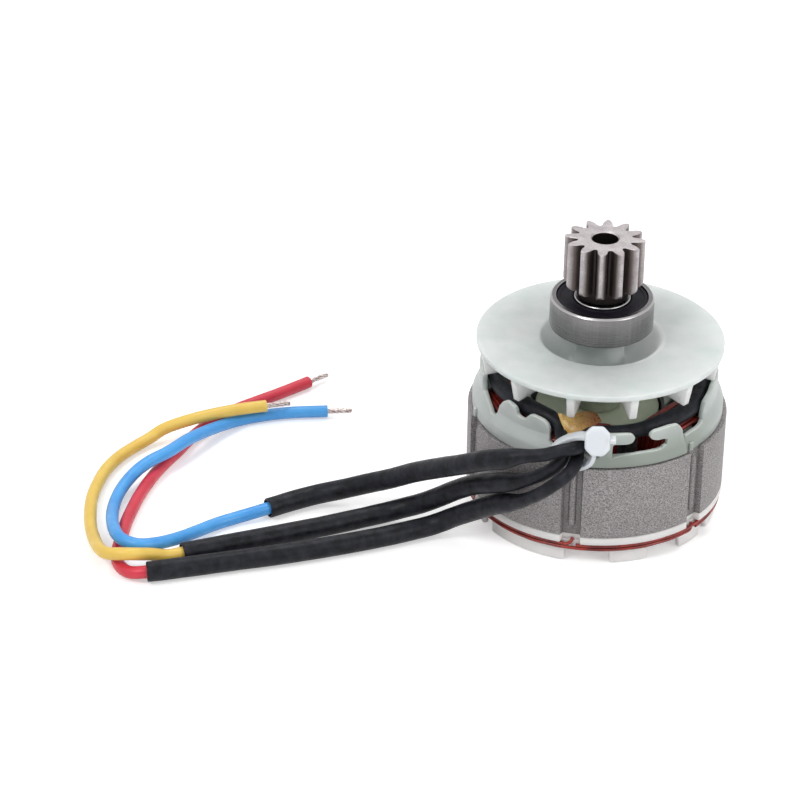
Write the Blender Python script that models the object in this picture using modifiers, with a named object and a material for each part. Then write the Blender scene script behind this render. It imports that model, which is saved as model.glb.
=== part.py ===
"""Brushless mower motor without its housing: a welded stator, a rotor with its
shaft, cooling fan, pinion and two sealed ball bearings, and three sleeved leads.

Units are metres and +Z is up. The origin is on the motor's axis, on the surface
that the lower insulator's tabs stand on. The leads come out on the -Y side.
"""
import math

import bmesh
import bpy
from mathutils import Matrix, Vector

# Fits
SEAT_GAP = 0.0003
SHAFT_FIT = 0.0002
RUNNING_GAP = 0.0005
OVERLAP = 0.0004
WALL_STEP = 10

# Lamination stack
STACK_RADIUS = 0.0277
STACK_BOTTOM = 0.0068
STACK_HEIGHT = 0.0168
TEETH = 6
TOOTH_AZIMUTH = -11.5
TOOTH_WIDTH = 0.0075
TOOTH_TIP_DEPTH = 0.0016
SLOT_MOUTH = 0.0024
YOKE_THICKNESS = 0.0045
BORE_SHARE = 0.4982
WELD_GROOVE_WIDTH = 0.0044
WELD_GROOVE_DEPTH = 0.0012
WELD_BEAD_RADIUS = 0.0009
WELD_BEAD_END_GAP = 0.0013

# Insulators
UPPER_FLANGE = 0.0012
UPPER_WALL = 0.0011
WALL_INSET = 0.0023
SKIRT_INSET = 0.0009
SHOULDER_LOW = 0.0270
SHOULDER_HIGH = 0.0280
FORMER_WIDTH_EXTRA = 0.0008
UPPER_FORMER = 0.0026
SILL_TOP = 0.0262
PEG_WIDTH = 0.0011
PEG_HEIGHT = 0.0019
LOWER_FLANGE = 0.0017
LOWER_FORMER = 0.0024
TAB_INSET = 0.0012
TAB_WALL = 0.0011
TAB_ROOT = 0.0036

# Windings
COIL_SHOE_GAP = 0.0007
COIL_YOKE_GAP = 0.0011
COIL_SIDE_BUILD = 0.0028
COIL_TOP_BUILD = 0.0042
COIL_BOTTOM_BUILD = 0.0029
CROSSOVER_RADIUS = 0.0004
CROSSOVER_DROP = 0.0005
CROSSOVER_STEP = 0.0009

# Shaft line
SHAFT_RADIUS = 0.0040
REAR_JOURNAL_RADIUS = 0.0030
PINION_BORE_RADIUS = 0.0028
SHAFT_BOTTOM = 0.0004
PINION_SHAFT_END_DEPTH = 0.0060
ROTOR_AIR_GAP = 0.0006
ROTOR_PLATE = 0.0010
MAGNETS = 4
MAGNET_WIDTH_SHARE = 0.985
MAGNET_THICKNESS = 0.0025
MAGNET_OFFSET_SHARE = 0.682
MAGNET_CLEARANCE = 0.00025

# Front bearing 8 x 22 x 7 mm and rear bearing 6 x 19 x 6 mm
FRONT_BEARING_TOP = 0.0499
FRONT_BEARING_RADIUS = 0.0110
FRONT_BEARING_WIDTH = 0.0070
FRONT_PITCH_RADIUS = 0.0075
FRONT_BALL_RADIUS = 0.00198
FRONT_BALLS = 7
REAR_BEARING_BOTTOM = 0.0006
REAR_BEARING_RADIUS = 0.0095
REAR_BEARING_WIDTH = 0.0060
REAR_PITCH_RADIUS = 0.00625
REAR_BALL_RADIUS = 0.00165
REAR_BALLS = 6
SEAL_THICKNESS = 0.0006
SEAL_RECESS = 0.0003
RACE_CLEARANCE = 0.00018
RING_CHAMFER = 0.0004

# Pinion
PINION_TEETH = 12
PINION_MODULE = 0.00118
PINION_SHIFT = 0.13
PRESSURE_ANGLE = 20.0
PINION_PHASE = 24.0
PINION_FACE = 0.0107
PINION_NECK_RADIUS = 0.00545
PINION_NECK_LENGTH = 0.0025
PINION_BORE_CHAMFER = 0.0003
PINION_ROOT_ROUND = 0.0012
PINION_TIP_CHAMFER = 0.0002

# Fan
FAN_RADIUS = 0.0263
FAN_TOP = 0.0402
FAN_THICKNESS = 0.0013
FAN_BLADES = 12
FAN_BLADE_PHASE = 15.0
FAN_BLADE_DROP = 0.0050
FAN_BLADE_THICKNESS = 0.0016
FAN_BLADE_LEAN = 0.0013
FAN_BLADE_RISE = 0.0010
FUNNEL_RADIUS = 0.0131
FUNNEL_DEPTH = 0.0062
HUB_RADIUS = 0.00515
HUB_BOTTOM = 0.0300

# Leads
LEAD_RADIUS = 0.0022
LEAD_NECK_RADIUS = 0.0014
INNER_LEAD_RADIUS = 0.00185
WIRE_RADIUS = 0.001375
TIP_RADIUS = 0.0006
TIP_LENGTH = 0.0056
TIE_WIDTH = 0.0022
TIE_THICKNESS = 0.0009
TIE_HEAD = (0.0052, 0.0061, 0.0034)
TIE_HEAD_CENTRE = (-0.00095, -0.0310, 0.0325)
TIE_HEAD_TILT = 28.0
TAPE_THICKNESS = 0.0004
TAPE_WIDTH = 0.0018
TAPE_INSET = 0.0013
TAPE_RISE = 0.0018
TAPE_LIFT = 0.0006

STACK_TOP = STACK_BOTTOM + STACK_HEIGHT
BORE_RADIUS = STACK_RADIUS * BORE_SHARE
YOKE_RADIUS = STACK_RADIUS - YOKE_THICKNESS
WALL_RADIUS = STACK_RADIUS - WALL_INSET
SKIRT_RADIUS = STACK_RADIUS - SKIRT_INSET
TAB_RADIUS = STACK_RADIUS - TAB_INSET
COIL_INNER_END = BORE_RADIUS + TOOTH_TIP_DEPTH + COIL_SHOE_GAP
COIL_OUTER_END = YOKE_RADIUS - COIL_YOKE_GAP
COIL_CROWN = STACK_TOP + UPPER_FORMER + COIL_TOP_BUILD + SEAT_GAP
LOWER_CAP_BASE = STACK_BOTTOM - SEAT_GAP / 3 - LOWER_FLANGE
FRONT_BEARING_BOTTOM = FRONT_BEARING_TOP - FRONT_BEARING_WIDTH
FAN_UNDERSIDE = FAN_TOP - FAN_THICKNESS
BLADE_BOTTOM = FAN_UNDERSIDE - FAN_BLADE_DROP
WALL_TOP = BLADE_BOTTOM - RUNNING_GAP
PINION_BOTTOM = FRONT_BEARING_TOP + SEAT_GAP
PINION_TOP = PINION_BOTTOM + PINION_NECK_LENGTH + PINION_FACE
ROTOR_RADIUS = BORE_RADIUS - ROTOR_AIR_GAP
MAGNET_WIDTH = ROTOR_RADIUS * MAGNET_WIDTH_SHARE
MAGNET_OFFSET = ROTOR_RADIUS * MAGNET_OFFSET_SHARE
REAR_BEARING_TOP = REAR_BEARING_BOTTOM + REAR_BEARING_WIDTH

# Colours, as linear RGB, with roughness and metallic values
FINISHES = {
    "lamination": ((0.19, 0.18, 0.18), 0.55, 0.8),
    "nylon": ((0.55, 0.60, 0.58), 0.45, 0.0),
    "copper": ((0.30, 0.05, 0.03), 0.30, 0.3),
    "tape": ((0.60, 0.33, 0.10), 0.40, 0.0),
    "steel": ((0.42, 0.41, 0.40), 0.28, 1.0),
    "sintered": ((0.30, 0.28, 0.26), 0.50, 0.9),
    "rubber": ((0.02, 0.02, 0.025), 0.60, 0.0),
    "fan": ((0.62, 0.68, 0.64), 0.40, 0.0),
    "magnet": ((0.35, 0.35, 0.37), 0.35, 1.0),
    "plate": ((0.16, 0.17, 0.12), 0.45, 0.2),
    "sleeve": ((0.022, 0.022, 0.027), 0.50, 0.0),
    "blue": ((0.06, 0.32, 0.80), 0.40, 0.0),
    "yellow": ((0.78, 0.52, 0.10), 0.40, 0.0),
    "red": ((0.68, 0.05, 0.08), 0.40, 0.0),
    "tin": ((0.60, 0.60, 0.60), 0.35, 1.0),
    "tie": ((0.82, 0.82, 0.86), 0.40, 0.0),
}

# The upper wall's crest, from the rear round the left side to the front and on
# to the rear again, as azimuth in degrees from the front and height above the floor.
# Heights of None stand for the wall's full height.
WALL_CREST = (
    (-180.0, None),
    (-69.0, None),
    (-67.7, 0.0326),
    (-67.0, 0.0312),
    (-64.4, 0.0302),
    (-60.8, 0.0294),
    (-57.6, 0.0287),
    (-56.4, 0.0304),
    (-54.1, 0.0318),
    (-50.6, 0.0330),
    (-48.5, 0.0333),
    (-45.9, 0.0332),
    (-43.2, 0.0329),
    (-42.3, 0.0325),
    (-41.9, 0.0315),
    (-40.7, 0.0311),
    (-37.9, 0.0309),
    (-36.9, 0.0318),
    (-35.0, 0.0325),
    (-33.0, 0.0328),
    (-29.5, 0.0327),
    (-26.9, 0.0324),
    (-24.9, 0.0318),
    (-24.0, 0.0309),
    (-23.8, 0.0295),
    (-23.2, 0.0279),
    (-21.2, 0.0277),
    (-19.8, 0.0276),
    (-17.0, 0.0265),
    (-6.0, 0.0261),
)
LEFT_HOOK = (
    (-0.6, 0.0263),
    (-0.4, 0.0314),
    (11.9, 0.0313),
    (14.3, 0.0310),
    (15.6, 0.0304),
    (16.2, 0.0295),
    (15.8, 0.0287),
    (14.6, 0.0283),
    (12.3, 0.0281),
    (6.7, 0.0282),
    (5.8, 0.0279),
    (5.6, 0.0262),
)
RIGHT_HOOK = (
    (30.0, 0.0261),
    (32.0, 0.0265),
    (33.1, 0.0276),
    (31.6, 0.0279),
    (28.4, 0.0279),
    (26.5, 0.0281),
    (25.1, 0.0285),
    (23.7, 0.0293),
    (23.2, 0.0301),
    (23.5, 0.0307),
    (24.6, 0.0311),
    (32.9, 0.0313),
    (37.4, 0.0311),
    (38.6, 0.0307),
    (41.1, 0.0296),
    (42.7, 0.0287),
    (43.3, 0.0278),
)
RIGHT_CREST = (
    (47.2, 0.0277),
    (53.1, 0.0279),
    (54.6, 0.0282),
    (55.4, 0.0287),
    (55.5, 0.0295),
    (55.8, 0.0311),
    (56.9, 0.0326),
    (59.4, 0.0332),
    (63.5, None),
    (180.0, None),
)
TAB_SPANS = ((-56.0, -14.0), (6.0, 25.0), (42.0, 58.0))

# Route points of each lead in metres, from inside the cap: its run to behind the tie's
# head, its run in the outer sleeve and its run as bare coloured wire
INNER_ROUTES = {
    "blue": (
        (0.0215, 0.0030, 0.0312), (0.0219, -0.0026, 0.0304), (0.0210, -0.0074, 0.0300),
        (0.0190, -0.0117, 0.0299), (0.0156, -0.0159, 0.0299), (0.0116, -0.0190, 0.0297),
        (0.0076, -0.0208, 0.0294), (0.0038, -0.0217, 0.0294), (0.0005, -0.0221, 0.0295),
        (-0.0018, -0.0231, 0.0298), (-0.0030, -0.0249, 0.0301), (-0.0033, -0.0267, 0.0302),
    ),
    "yellow": (
        (-0.0212, 0.0050, 0.0306), (-0.0218, -0.0010, 0.0309), (-0.0211, -0.0060, 0.0311),
        (-0.0190, -0.0105, 0.0312), (-0.0160, -0.0144, 0.0312), (-0.0125, -0.0176, 0.0310),
        (-0.0100, -0.0195, 0.0307), (-0.0085, -0.0215, 0.0301), (-0.0081, -0.0237, 0.0295),
        (-0.0079, -0.0258, 0.0287), (-0.0077, -0.0277, 0.0281), (-0.0081, -0.0294, 0.0272),
    ),
    "red": (
        (-0.0047, -0.0233, 0.0279), (-0.0049, -0.0246, 0.0280), (-0.0050, -0.0261, 0.0279),
        (-0.0048, -0.0277, 0.0275), (-0.0049, -0.0293, 0.0269), (-0.0056, -0.0312, 0.0262),
    ),
}
SLEEVE_ROUTES = {
    "blue": (
        (-0.0038, -0.0283, 0.0301), (-0.0052, -0.0299, 0.0301), (-0.0080, -0.0309, 0.0300),
        (-0.0120, -0.0314, 0.0291), (-0.0166, -0.0307, 0.0282), (-0.0201, -0.0293, 0.0266),
        (-0.0238, -0.0272, 0.0249), (-0.0284, -0.0234, 0.0215), (-0.0334, -0.0185, 0.0175),
        (-0.0386, -0.0138, 0.0134), (-0.0438, -0.0101, 0.0094), (-0.0491, -0.0076, 0.0064),
        (-0.0544, -0.0064, 0.0041), (-0.0596, -0.0066, 0.0028), (-0.0648, -0.0087, 0.0023),
        (-0.0700, -0.0121, 0.0023),
    ),
    "yellow": (
        (-0.0093, -0.0302, 0.0257), (-0.0122, -0.0298, 0.0233), (-0.0163, -0.0281, 0.0207),
        (-0.0206, -0.0251, 0.0183), (-0.0257, -0.0207, 0.0150), (-0.0296, -0.0172, 0.0114),
        (-0.0331, -0.0149, 0.0082), (-0.0370, -0.0136, 0.0056), (-0.0410, -0.0129, 0.0038),
        (-0.0462, -0.0137, 0.0026), (-0.0564, -0.0181, 0.0023), (-0.0668, -0.0225, 0.0023),
        (-0.0771, -0.0267, 0.0023), (-0.0868, -0.0307, 0.0023),
    ),
    "red": (
        (-0.0072, -0.0331, 0.0252), (-0.0104, -0.0331, 0.0223), (-0.0131, -0.0314, 0.0193),
        (-0.0165, -0.0284, 0.0159), (-0.0209, -0.0245, 0.0127), (-0.0255, -0.0207, 0.0087),
        (-0.0298, -0.0185, 0.0055), (-0.0330, -0.0178, 0.0035), (-0.0365, -0.0184, 0.0025),
        (-0.0459, -0.0226, 0.0023), (-0.0560, -0.0266, 0.0023), (-0.0663, -0.0302, 0.0023),
        (-0.0766, -0.0333, 0.0023), (-0.0858, -0.0361, 0.0023), (-0.0935, -0.0383, 0.0023),
    ),
}
WIRE_ROUTES = {
    "blue": (
        (-0.0738, -0.0139, 0.0019), (-0.0768, -0.0151, 0.0015), (-0.0809, -0.0178, 0.0015),
        (-0.0848, -0.0219, 0.0020), (-0.0886, -0.0266, 0.0031), (-0.0924, -0.0306, 0.0044),
        (-0.0963, -0.0320, 0.0050), (-0.1000, -0.0296, 0.0050), (-0.1023, -0.0224, 0.0038),
        (-0.1032, -0.0134, 0.0022), (-0.1024, -0.0067, 0.0024), (-0.1000, -0.0013, 0.0035),
        (-0.0969, 0.0022, 0.0046), (-0.0931, 0.0062, 0.0048), (-0.0889, 0.0125, 0.0046),
        (-0.0839, 0.0205, 0.0028), (-0.0787, 0.0264, 0.0015), (-0.0731, 0.0288, 0.0015),
        (-0.0674, 0.0303, 0.0015), (-0.0595, 0.0313, 0.0015),
    ),
    "yellow": (
        (-0.0900, -0.0322, 0.0025), (-0.0930, -0.0338, 0.0038), (-0.0977, -0.0361, 0.0052),
        (-0.1030, -0.0336, 0.0039), (-0.1064, -0.0240, 0.0019), (-0.1080, -0.0154, 0.0015),
        (-0.1083, -0.0067, 0.0015), (-0.1069, 0.0024, 0.0015), (-0.1044, 0.0088, 0.0015),
        (-0.1013, 0.0135, 0.0015), (-0.0984, 0.0166, 0.0019), (-0.0952, 0.0188, 0.0032),
        (-0.0896, 0.0206, 0.0046), (-0.0841, 0.0233, 0.0048), (-0.0786, 0.0258, 0.0047),
        (-0.0732, 0.0278, 0.0045),
    ),
    "red": (
        (-0.0972, -0.0377, 0.0017), (-0.0995, -0.0350, 0.0015), (-0.1004, -0.0320, 0.0015),
        (-0.1006, -0.0285, 0.0015), (-0.1003, -0.0242, 0.0015), (-0.1000, -0.0186, 0.0015),
        (-0.0994, -0.0138, 0.0015), (-0.0983, -0.0072, 0.0015), (-0.0966, -0.0005, 0.0015),
        (-0.0946, 0.0053, 0.0015), (-0.0919, 0.0114, 0.0015), (-0.0895, 0.0173, 0.0015),
        (-0.0866, 0.0229, 0.0015), (-0.0832, 0.0278, 0.0015), (-0.0798, 0.0313, 0.0015),
        (-0.0764, 0.0342, 0.0015), (-0.0708, 0.0388, 0.0015), (-0.0645, 0.0444, 0.0015),
    ),
}
SLEEVE_THIN_UNTIL = -0.0140
SLEEVE_FULL_FROM = -0.0205
INNER_THIN_FROM = -0.0218
INNER_FULL_FROM = -0.0185
ROUTE_STEPS = 8
INNER_SPACING = 0.0032
SLEEVE_SPACING = 0.0062
WIRE_SPACING = 0.0056
LEAD_JOIN_GAP = 0.0005
END_STEP = 0.0005
TIE_ROUTE = (
    (-0.0026, -0.0304, 0.0331), (-0.0038, -0.0293, 0.0332), (-0.0053, -0.0281, 0.0325),
    (-0.0070, -0.0276, 0.0317), (-0.0088, -0.0276, 0.0305), (-0.0099, -0.0274, 0.0287),
    (-0.0099, -0.0272, 0.0268), (-0.0087, -0.0274, 0.0255), (-0.0067, -0.0278, 0.0248),
    (-0.0046, -0.0284, 0.0247), (-0.0029, -0.0291, 0.0257), (-0.0018, -0.0299, 0.0274),
    (-0.0014, -0.0306, 0.0300),
)


def clear_scene():
    for thing in list(bpy.data.objects):
        bpy.data.objects.remove(thing, do_unlink=True)


def collection(name):
    made = bpy.data.collections.new(name)
    bpy.context.scene.collection.children.link(made)
    return made


def finish(name):
    """The material of that name, made once."""
    if name in bpy.data.materials:
        return bpy.data.materials[name]
    colour, roughness, metallic = FINISHES[name]
    material = bpy.data.materials.new(name)
    material.use_nodes = True
    shader = material.node_tree.nodes["Principled BSDF"]
    shader.inputs["Base Color"].default_value = (*colour, 1.0)
    shader.inputs["Roughness"].default_value = roughness
    shader.inputs["Metallic"].default_value = metallic
    material.diffuse_color = (*colour, 1.0)
    return material


def place(name, mesh, look, home, parent=None, location=(0.0, 0.0, 0.0)):
    thing = bpy.data.objects.new(name, mesh)
    home.objects.link(thing)
    thing.location = location
    if look:
        mesh.materials.append(finish(look))
    if parent:
        thing.parent = parent
    if home is cutters:
        thing.hide_render = True
        thing.display_type = "WIRE"
    return thing


def axis_empty(name):
    """An empty on the motor's axis that carries what turns there."""
    empty = bpy.data.objects.new(name, None)
    parts.objects.link(empty)
    return empty


def mesh_from(work, name):
    """Turns a bmesh into a mesh with its faces pointing out, round parts smooth."""
    bmesh.ops.recalc_face_normals(work, faces=work.faces)
    mesh = bpy.data.meshes.new(name)
    work.to_mesh(mesh)
    work.free()
    mesh.shade_smooth()
    mesh.set_sharp_from_angle(angle=math.radians(35.0))
    return mesh


def weld_evaluated(thing):
    """Replaces an object's curve or modifiers by the welded mesh that they make."""
    depsgraph = bpy.context.evaluated_depsgraph_get()
    mesh = bpy.data.meshes.new_from_object(thing.evaluated_get(depsgraph))
    work = bmesh.new()
    work.from_mesh(mesh)
    bmesh.ops.remove_doubles(work, verts=work.verts, dist=0.000002)
    made = mesh_from(work, thing.name)
    matrix = thing.matrix_world.copy()
    name = thing.name
    look = thing.data.materials[0].name if thing.data.materials else None
    home = thing.users_collection[0]
    parent = thing.parent
    bpy.data.objects.remove(thing, do_unlink=True)
    solid = place(name, made, look, home, parent)
    solid.matrix_world = matrix
    return solid


def azimuth_point(radius, azimuth, height):
    """A point at an azimuth in degrees, from the front (-Y) towards +X."""
    angle = math.radians(azimuth)
    return (radius * math.sin(angle), -radius * math.cos(angle), height)


def profile_mesh(profile):
    """The profile's points as a mesh of edges for the Screw modifier."""
    mesh = bpy.data.meshes.new("profile")
    edges = [(k, k + 1) for k in range(len(profile) - 1)]
    if profile[0][0] > 0.0 and profile[-1][0] > 0.0:
        edges.append((len(profile) - 1, 0))
    mesh.from_pydata([(radius, 0.0, height) for radius, height in profile], edges, [])
    return mesh


def turned(name, profile, look, home, parent=None, segments=28):
    """A turned piece. The profile runs down its outer side and back up inside."""
    thing = place(name, profile_mesh(profile), look, home, parent)
    screw = thing.modifiers.new("turn", "SCREW")
    screw.angle = math.tau
    screw.steps = segments
    screw.render_steps = segments
    screw.use_merge_vertices = True
    screw.merge_threshold = 0.000002
    screw.use_smooth_shade = True
    return thing


def boolean(thing, other, operation):
    step = thing.modifiers.new(operation.lower(), "BOOLEAN")
    step.operation = operation
    step.object = other
    step.solver = "EXACT"
    return step


def outline_solid(name, loops, low, high, look, home, parent=None):
    """A flat outline with holes, as a solid between two heights."""
    curve = bpy.data.curves.new(name, "CURVE")
    curve.dimensions = "2D"
    curve.fill_mode = "BOTH"
    curve.extrude = (high - low) / 2
    for loop in loops:
        spline = curve.splines.new("POLY")
        spline.points.add(len(loop) - 1)
        for point, (x, y) in zip(spline.points, loop):
            point.co = (x, y, 0.0, 1.0)
        spline.use_cyclic_u = True
    if look:
        curve.materials.append(finish(look))
    thing = bpy.data.objects.new(name, curve)
    home.objects.link(thing)
    thing.location = (0.0, 0.0, (low + high) / 2)
    thing.parent = parent
    bpy.context.view_layer.update()
    return weld_evaluated(thing)


def arc(radius, start, end, steps):
    """Points along a circle round the axis, between two azimuths in degrees."""
    return [
        azimuth_point(radius, start + (end - start) * k / steps, 0.0)[:2]
        for k in range(steps + 1)
    ]


def loft(name, rings, look, home, parent=None, closed=False):
    """A solid through rings of equally many points, capped at its ends unless closed."""
    work = bmesh.new()
    made = [[work.verts.new(point) for point in ring] for ring in rings]
    count = len(made[0])
    pairs = list(zip(made, made[1:]))
    if closed:
        pairs.append((made[-1], made[0]))
    for low, high in pairs:
        for k in range(count):
            work.faces.new((low[k], low[(k + 1) % count], high[(k + 1) % count], high[k]))
    if not closed:
        work.faces.new(made[0][::-1])
        work.faces.new(made[-1])
    return place(name, mesh_from(work, name), look, home, parent)


def smooth_route(points, steps):
    """Points on a Catmull-Rom curve through the route's own points."""
    route = [Vector(point) for point in points]
    route = [2 * route[0] - route[1], *route, 2 * route[-1] - route[-2]]
    found = []
    for before, start, end, after in zip(route, route[1:], route[2:], route[3:]):
        for k in range(steps):
            t = k / steps
            found.append(
                0.5
                * (
                    2 * start
                    + (end - before) * t
                    + (2 * before - 5 * start + 4 * end - after) * t * t
                    + (3 * start - before - 3 * end + after) * t**3
                )
            )
    return [*found, route[-2]]


def evenly(points, spacing):
    """The same curve, read at even steps of about the spacing given."""
    lengths = [0.0]
    for start, end in zip(points, points[1:]):
        lengths.append(lengths[-1] + (end - start).length)
    count = max(2, round(lengths[-1] / spacing))
    found = []
    for k in range(count + 1):
        target = lengths[-1] * k / count
        at = max(i for i, length in enumerate(lengths) if length <= target + 1e-12)
        at = min(at, len(points) - 2)
        share = (target - lengths[at]) / (lengths[at + 1] - lengths[at])
        found.append(points[at].lerp(points[at + 1], share))
    return found


def tube(name, points, radius, look, parent=None, widths=None):
    """A round lead along the points, as a curve with a bevel and filled caps."""
    curve = bpy.data.curves.new(name, "CURVE")
    curve.dimensions = "3D"
    curve.bevel_depth = radius
    curve.bevel_resolution = 2
    curve.use_fill_caps = True
    spline = curve.splines.new("POLY")
    spline.points.add(len(points) - 1)
    for k, (point, at) in enumerate(zip(spline.points, points)):
        point.co = (*at, 1.0)
        if widths:
            point.radius = widths[k]
    curve.materials.append(finish(look))
    thing = bpy.data.objects.new(name, curve)
    parts.objects.link(thing)
    thing.parent = parent
    return thing


def slot_angle(radius, width):
    return math.degrees(math.asin(width / 2 / radius))


def stack_outer_outline(groove_depth):
    """The stack's outside, with a weld groove behind every tooth."""
    loop = []
    half = slot_angle(STACK_RADIUS, WELD_GROOVE_WIDTH)
    for tooth in range(TEETH):
        middle = TOOTH_AZIMUTH + tooth * 360.0 / TEETH
        for side in (-1, 1):
            inner = STACK_RADIUS - groove_depth
            floor_half = slot_angle(inner, WELD_GROOVE_WIDTH * 0.82)
            rim = azimuth_point(STACK_RADIUS, middle + side * half, 0.0)[:2]
            floor = azimuth_point(inner, middle + side * floor_half, 0.0)[:2]
            loop += [rim, floor] if side < 0 else [floor, rim]
        loop += arc(STACK_RADIUS, middle + half, middle + 360.0 / TEETH - half, 8)[1:-1]
    return loop


def slot_outline(tooth_width, bore, yoke):
    """The opening inside the stack: the bore and the winding slots, as one loop."""
    loop = []
    pitch = 360.0 / TEETH
    lip_radius = bore + TOOTH_TIP_DEPTH * 0.6
    root_radius = bore + TOOTH_TIP_DEPTH * 1.3
    mouth = pitch / 2 - slot_angle(bore, SLOT_MOUTH)
    lip = pitch / 2 - slot_angle(lip_radius, SLOT_MOUTH)
    root = slot_angle(root_radius, tooth_width)
    back = slot_angle(yoke, tooth_width)
    for tooth in range(TEETH):
        middle = TOOTH_AZIMUTH + tooth * pitch
        after = middle + pitch
        loop += arc(bore, middle - mouth, middle + mouth, 4)
        loop.append(azimuth_point(lip_radius, middle + lip, 0.0)[:2])
        loop.append(azimuth_point(root_radius, middle + root, 0.0)[:2])
        loop += arc(yoke, middle + back, after - back, 4)
        loop.append(azimuth_point(root_radius, after - root, 0.0)[:2])
        loop.append(azimuth_point(lip_radius, after - lip, 0.0)[:2])
    return loop


def lamination_stack():
    loops = [
        stack_outer_outline(WELD_GROOVE_DEPTH),
        slot_outline(TOOTH_WIDTH, BORE_RADIUS, YOKE_RADIUS),
    ]
    stack = outline_solid("lamination_stack", loops, STACK_BOTTOM, STACK_TOP, "lamination", parts)
    low = STACK_BOTTOM + WELD_BEAD_END_GAP
    high = STACK_TOP - WELD_BEAD_END_GAP
    rings = []
    for height, width in (
        (low, 0.35), (low + WELD_BEAD_RADIUS * 0.7, 1.0),
        (high - WELD_BEAD_RADIUS * 0.7, 1.0), (high, 0.35),
    ):
        radius = WELD_BEAD_RADIUS * width
        centre = STACK_RADIUS - WELD_GROOVE_DEPTH - WELD_BEAD_RADIUS * 0.2
        rings.append([
            (radius * math.cos(math.tau * k / 8), -centre - radius * math.sin(math.tau * k / 8), height)
            for k in range(8)
        ])
    beads = bmesh.new()
    for tooth in range(TEETH):
        angle = math.radians(TOOTH_AZIMUTH + tooth * 360.0 / TEETH)
        turn = Matrix.Rotation(angle, 3, "Z")
        made = [[beads.verts.new(turn @ Vector(point)) for point in ring] for ring in rings]
        for first, second in zip(made, made[1:]):
            for k in range(8):
                beads.faces.new((first[k], first[(k + 1) % 8], second[(k + 1) % 8], second[k]))
        beads.faces.new(made[0][::-1])
        beads.faces.new(made[-1])
    bead_group = place("weld_beads", mesh_from(beads, "weld_beads"), None, cutters)
    boolean(stack, bead_group, "UNION")
    return stack


def unrolled_wall(name, crest, base, outer_radius, inner_radius, levels, home):
    """A moulded wall: its unrolled outline is extruded to its thickness and bent round.

    The crest and base are lists of azimuth and height. outer_radius and inner_radius give
    the wall's two faces at a height, and levels are the heights where they change.
    """
    outline = [*crest, *reversed(base)]
    work = bmesh.new()
    inner = [work.verts.new((azimuth, 0.0, height)) for azimuth, height in outline]
    outer = [work.verts.new((azimuth, 1.0, height)) for azimuth, height in outline]
    count = len(outline)
    work.faces.new(inner)
    work.faces.new(outer[::-1])
    for k in range(count):
        work.faces.new((inner[k], inner[(k + 1) % count], outer[(k + 1) % count], outer[k]))
    cuts = [((azimuth, 0.0, 0.0), (1.0, 0.0, 0.0)) for azimuth in range(-170, 180, WALL_STEP)]
    cuts += [((0.0, 0.0, height), (0.0, 0.0, 1.0)) for height in levels]
    for point, normal in cuts:
        bmesh.ops.bisect_plane(
            work,
            geom=[*work.verts, *work.edges, *work.faces],
            dist=1e-7,
            plane_co=point,
            plane_no=normal,
        )
    ends = [
        face for face in work.faces
        if all(abs(abs(vert.co.x) - 180.0) < 1e-6 for vert in face.verts)
    ]
    bmesh.ops.delete(work, geom=ends, context="FACES")
    for vert in work.verts:
        azimuth, side, height = vert.co
        radius = outer_radius(height) if side > 0.5 else inner_radius(height)
        vert.co = azimuth_point(radius, azimuth, height)
    bmesh.ops.remove_doubles(work, verts=work.verts, dist=0.000002)
    bent = [face for face in work.faces if len(face.verts) > 4]
    bmesh.ops.triangulate(work, faces=bent)
    return place(name, mesh_from(work, name), None, home)


def wall_radius(height):
    """The upper wall's outer face: a skirt, a sloping shoulder and an upright wall."""
    if height <= SHOULDER_LOW:
        return SKIRT_RADIUS
    if height >= SHOULDER_HIGH:
        return WALL_RADIUS
    share = (height - SHOULDER_LOW) / (SHOULDER_HIGH - SHOULDER_LOW)
    return SKIRT_RADIUS + (WALL_RADIUS - SKIRT_RADIUS) * share


def upper_insulator():
    """The nylon end cap on the stack: flange, winding formers, wall, hooks and pegs."""
    low = STACK_TOP + SEAT_GAP / 3
    crest = [
        (azimuth, WALL_TOP if height is None else height)
        for azimuth, height in (*WALL_CREST, *LEFT_HOOK, *RIGHT_HOOK, *RIGHT_CREST)
    ]
    base = [(-180.0, low), (180.0, low)]
    levels = (low + UPPER_FLANGE, SHOULDER_LOW, SHOULDER_HIGH)
    wall = unrolled_wall(
        "insulator_wall", crest, base, wall_radius,
        lambda height: wall_radius(height) - UPPER_WALL, levels, cutters,
    )
    flange_outline = [
        arc(SKIRT_RADIUS - OVERLAP, -180.0, 180.0 - WALL_STEP, 360 // WALL_STEP - 1),
        slot_outline(TOOTH_WIDTH + FORMER_WIDTH_EXTRA, BORE_RADIUS + RUNNING_GAP, YOKE_RADIUS),
    ]
    cap = outline_solid(
        "upper_insulator", flange_outline, low, low + UPPER_FLANGE, "nylon", parts
    )
    boolean(cap, wall, "UNION")
    boolean(cap, formers("upper_formers", low + OVERLAP, low + UPPER_FORMER), "UNION")
    boolean(cap, front_sill(low + SEAT_GAP), "UNION")
    boolean(cap, pegs(low + SEAT_GAP / 2), "UNION")
    return cap


def formers(name, low, high):
    """The blocks on the teeth that the end turns bend over."""
    work = bmesh.new()
    inner = BORE_RADIUS + TOOTH_TIP_DEPTH
    outer = YOKE_RADIUS
    for tooth in range(TEETH):
        angle = math.radians(TOOTH_AZIMUTH + tooth * 360.0 / TEETH)
        made = bmesh.ops.create_cube(work, size=1.0)["verts"]
        size = Matrix.Diagonal((TOOTH_WIDTH, outer - inner, high - low, 1.0))
        move = Matrix.Translation((0.0, -(inner + outer) / 2, (low + high) / 2))
        bmesh.ops.transform(work, matrix=Matrix.Rotation(angle, 4, "Z") @ move @ size, verts=made)
    return place(name, mesh_from(work, name), None, cutters)


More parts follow.
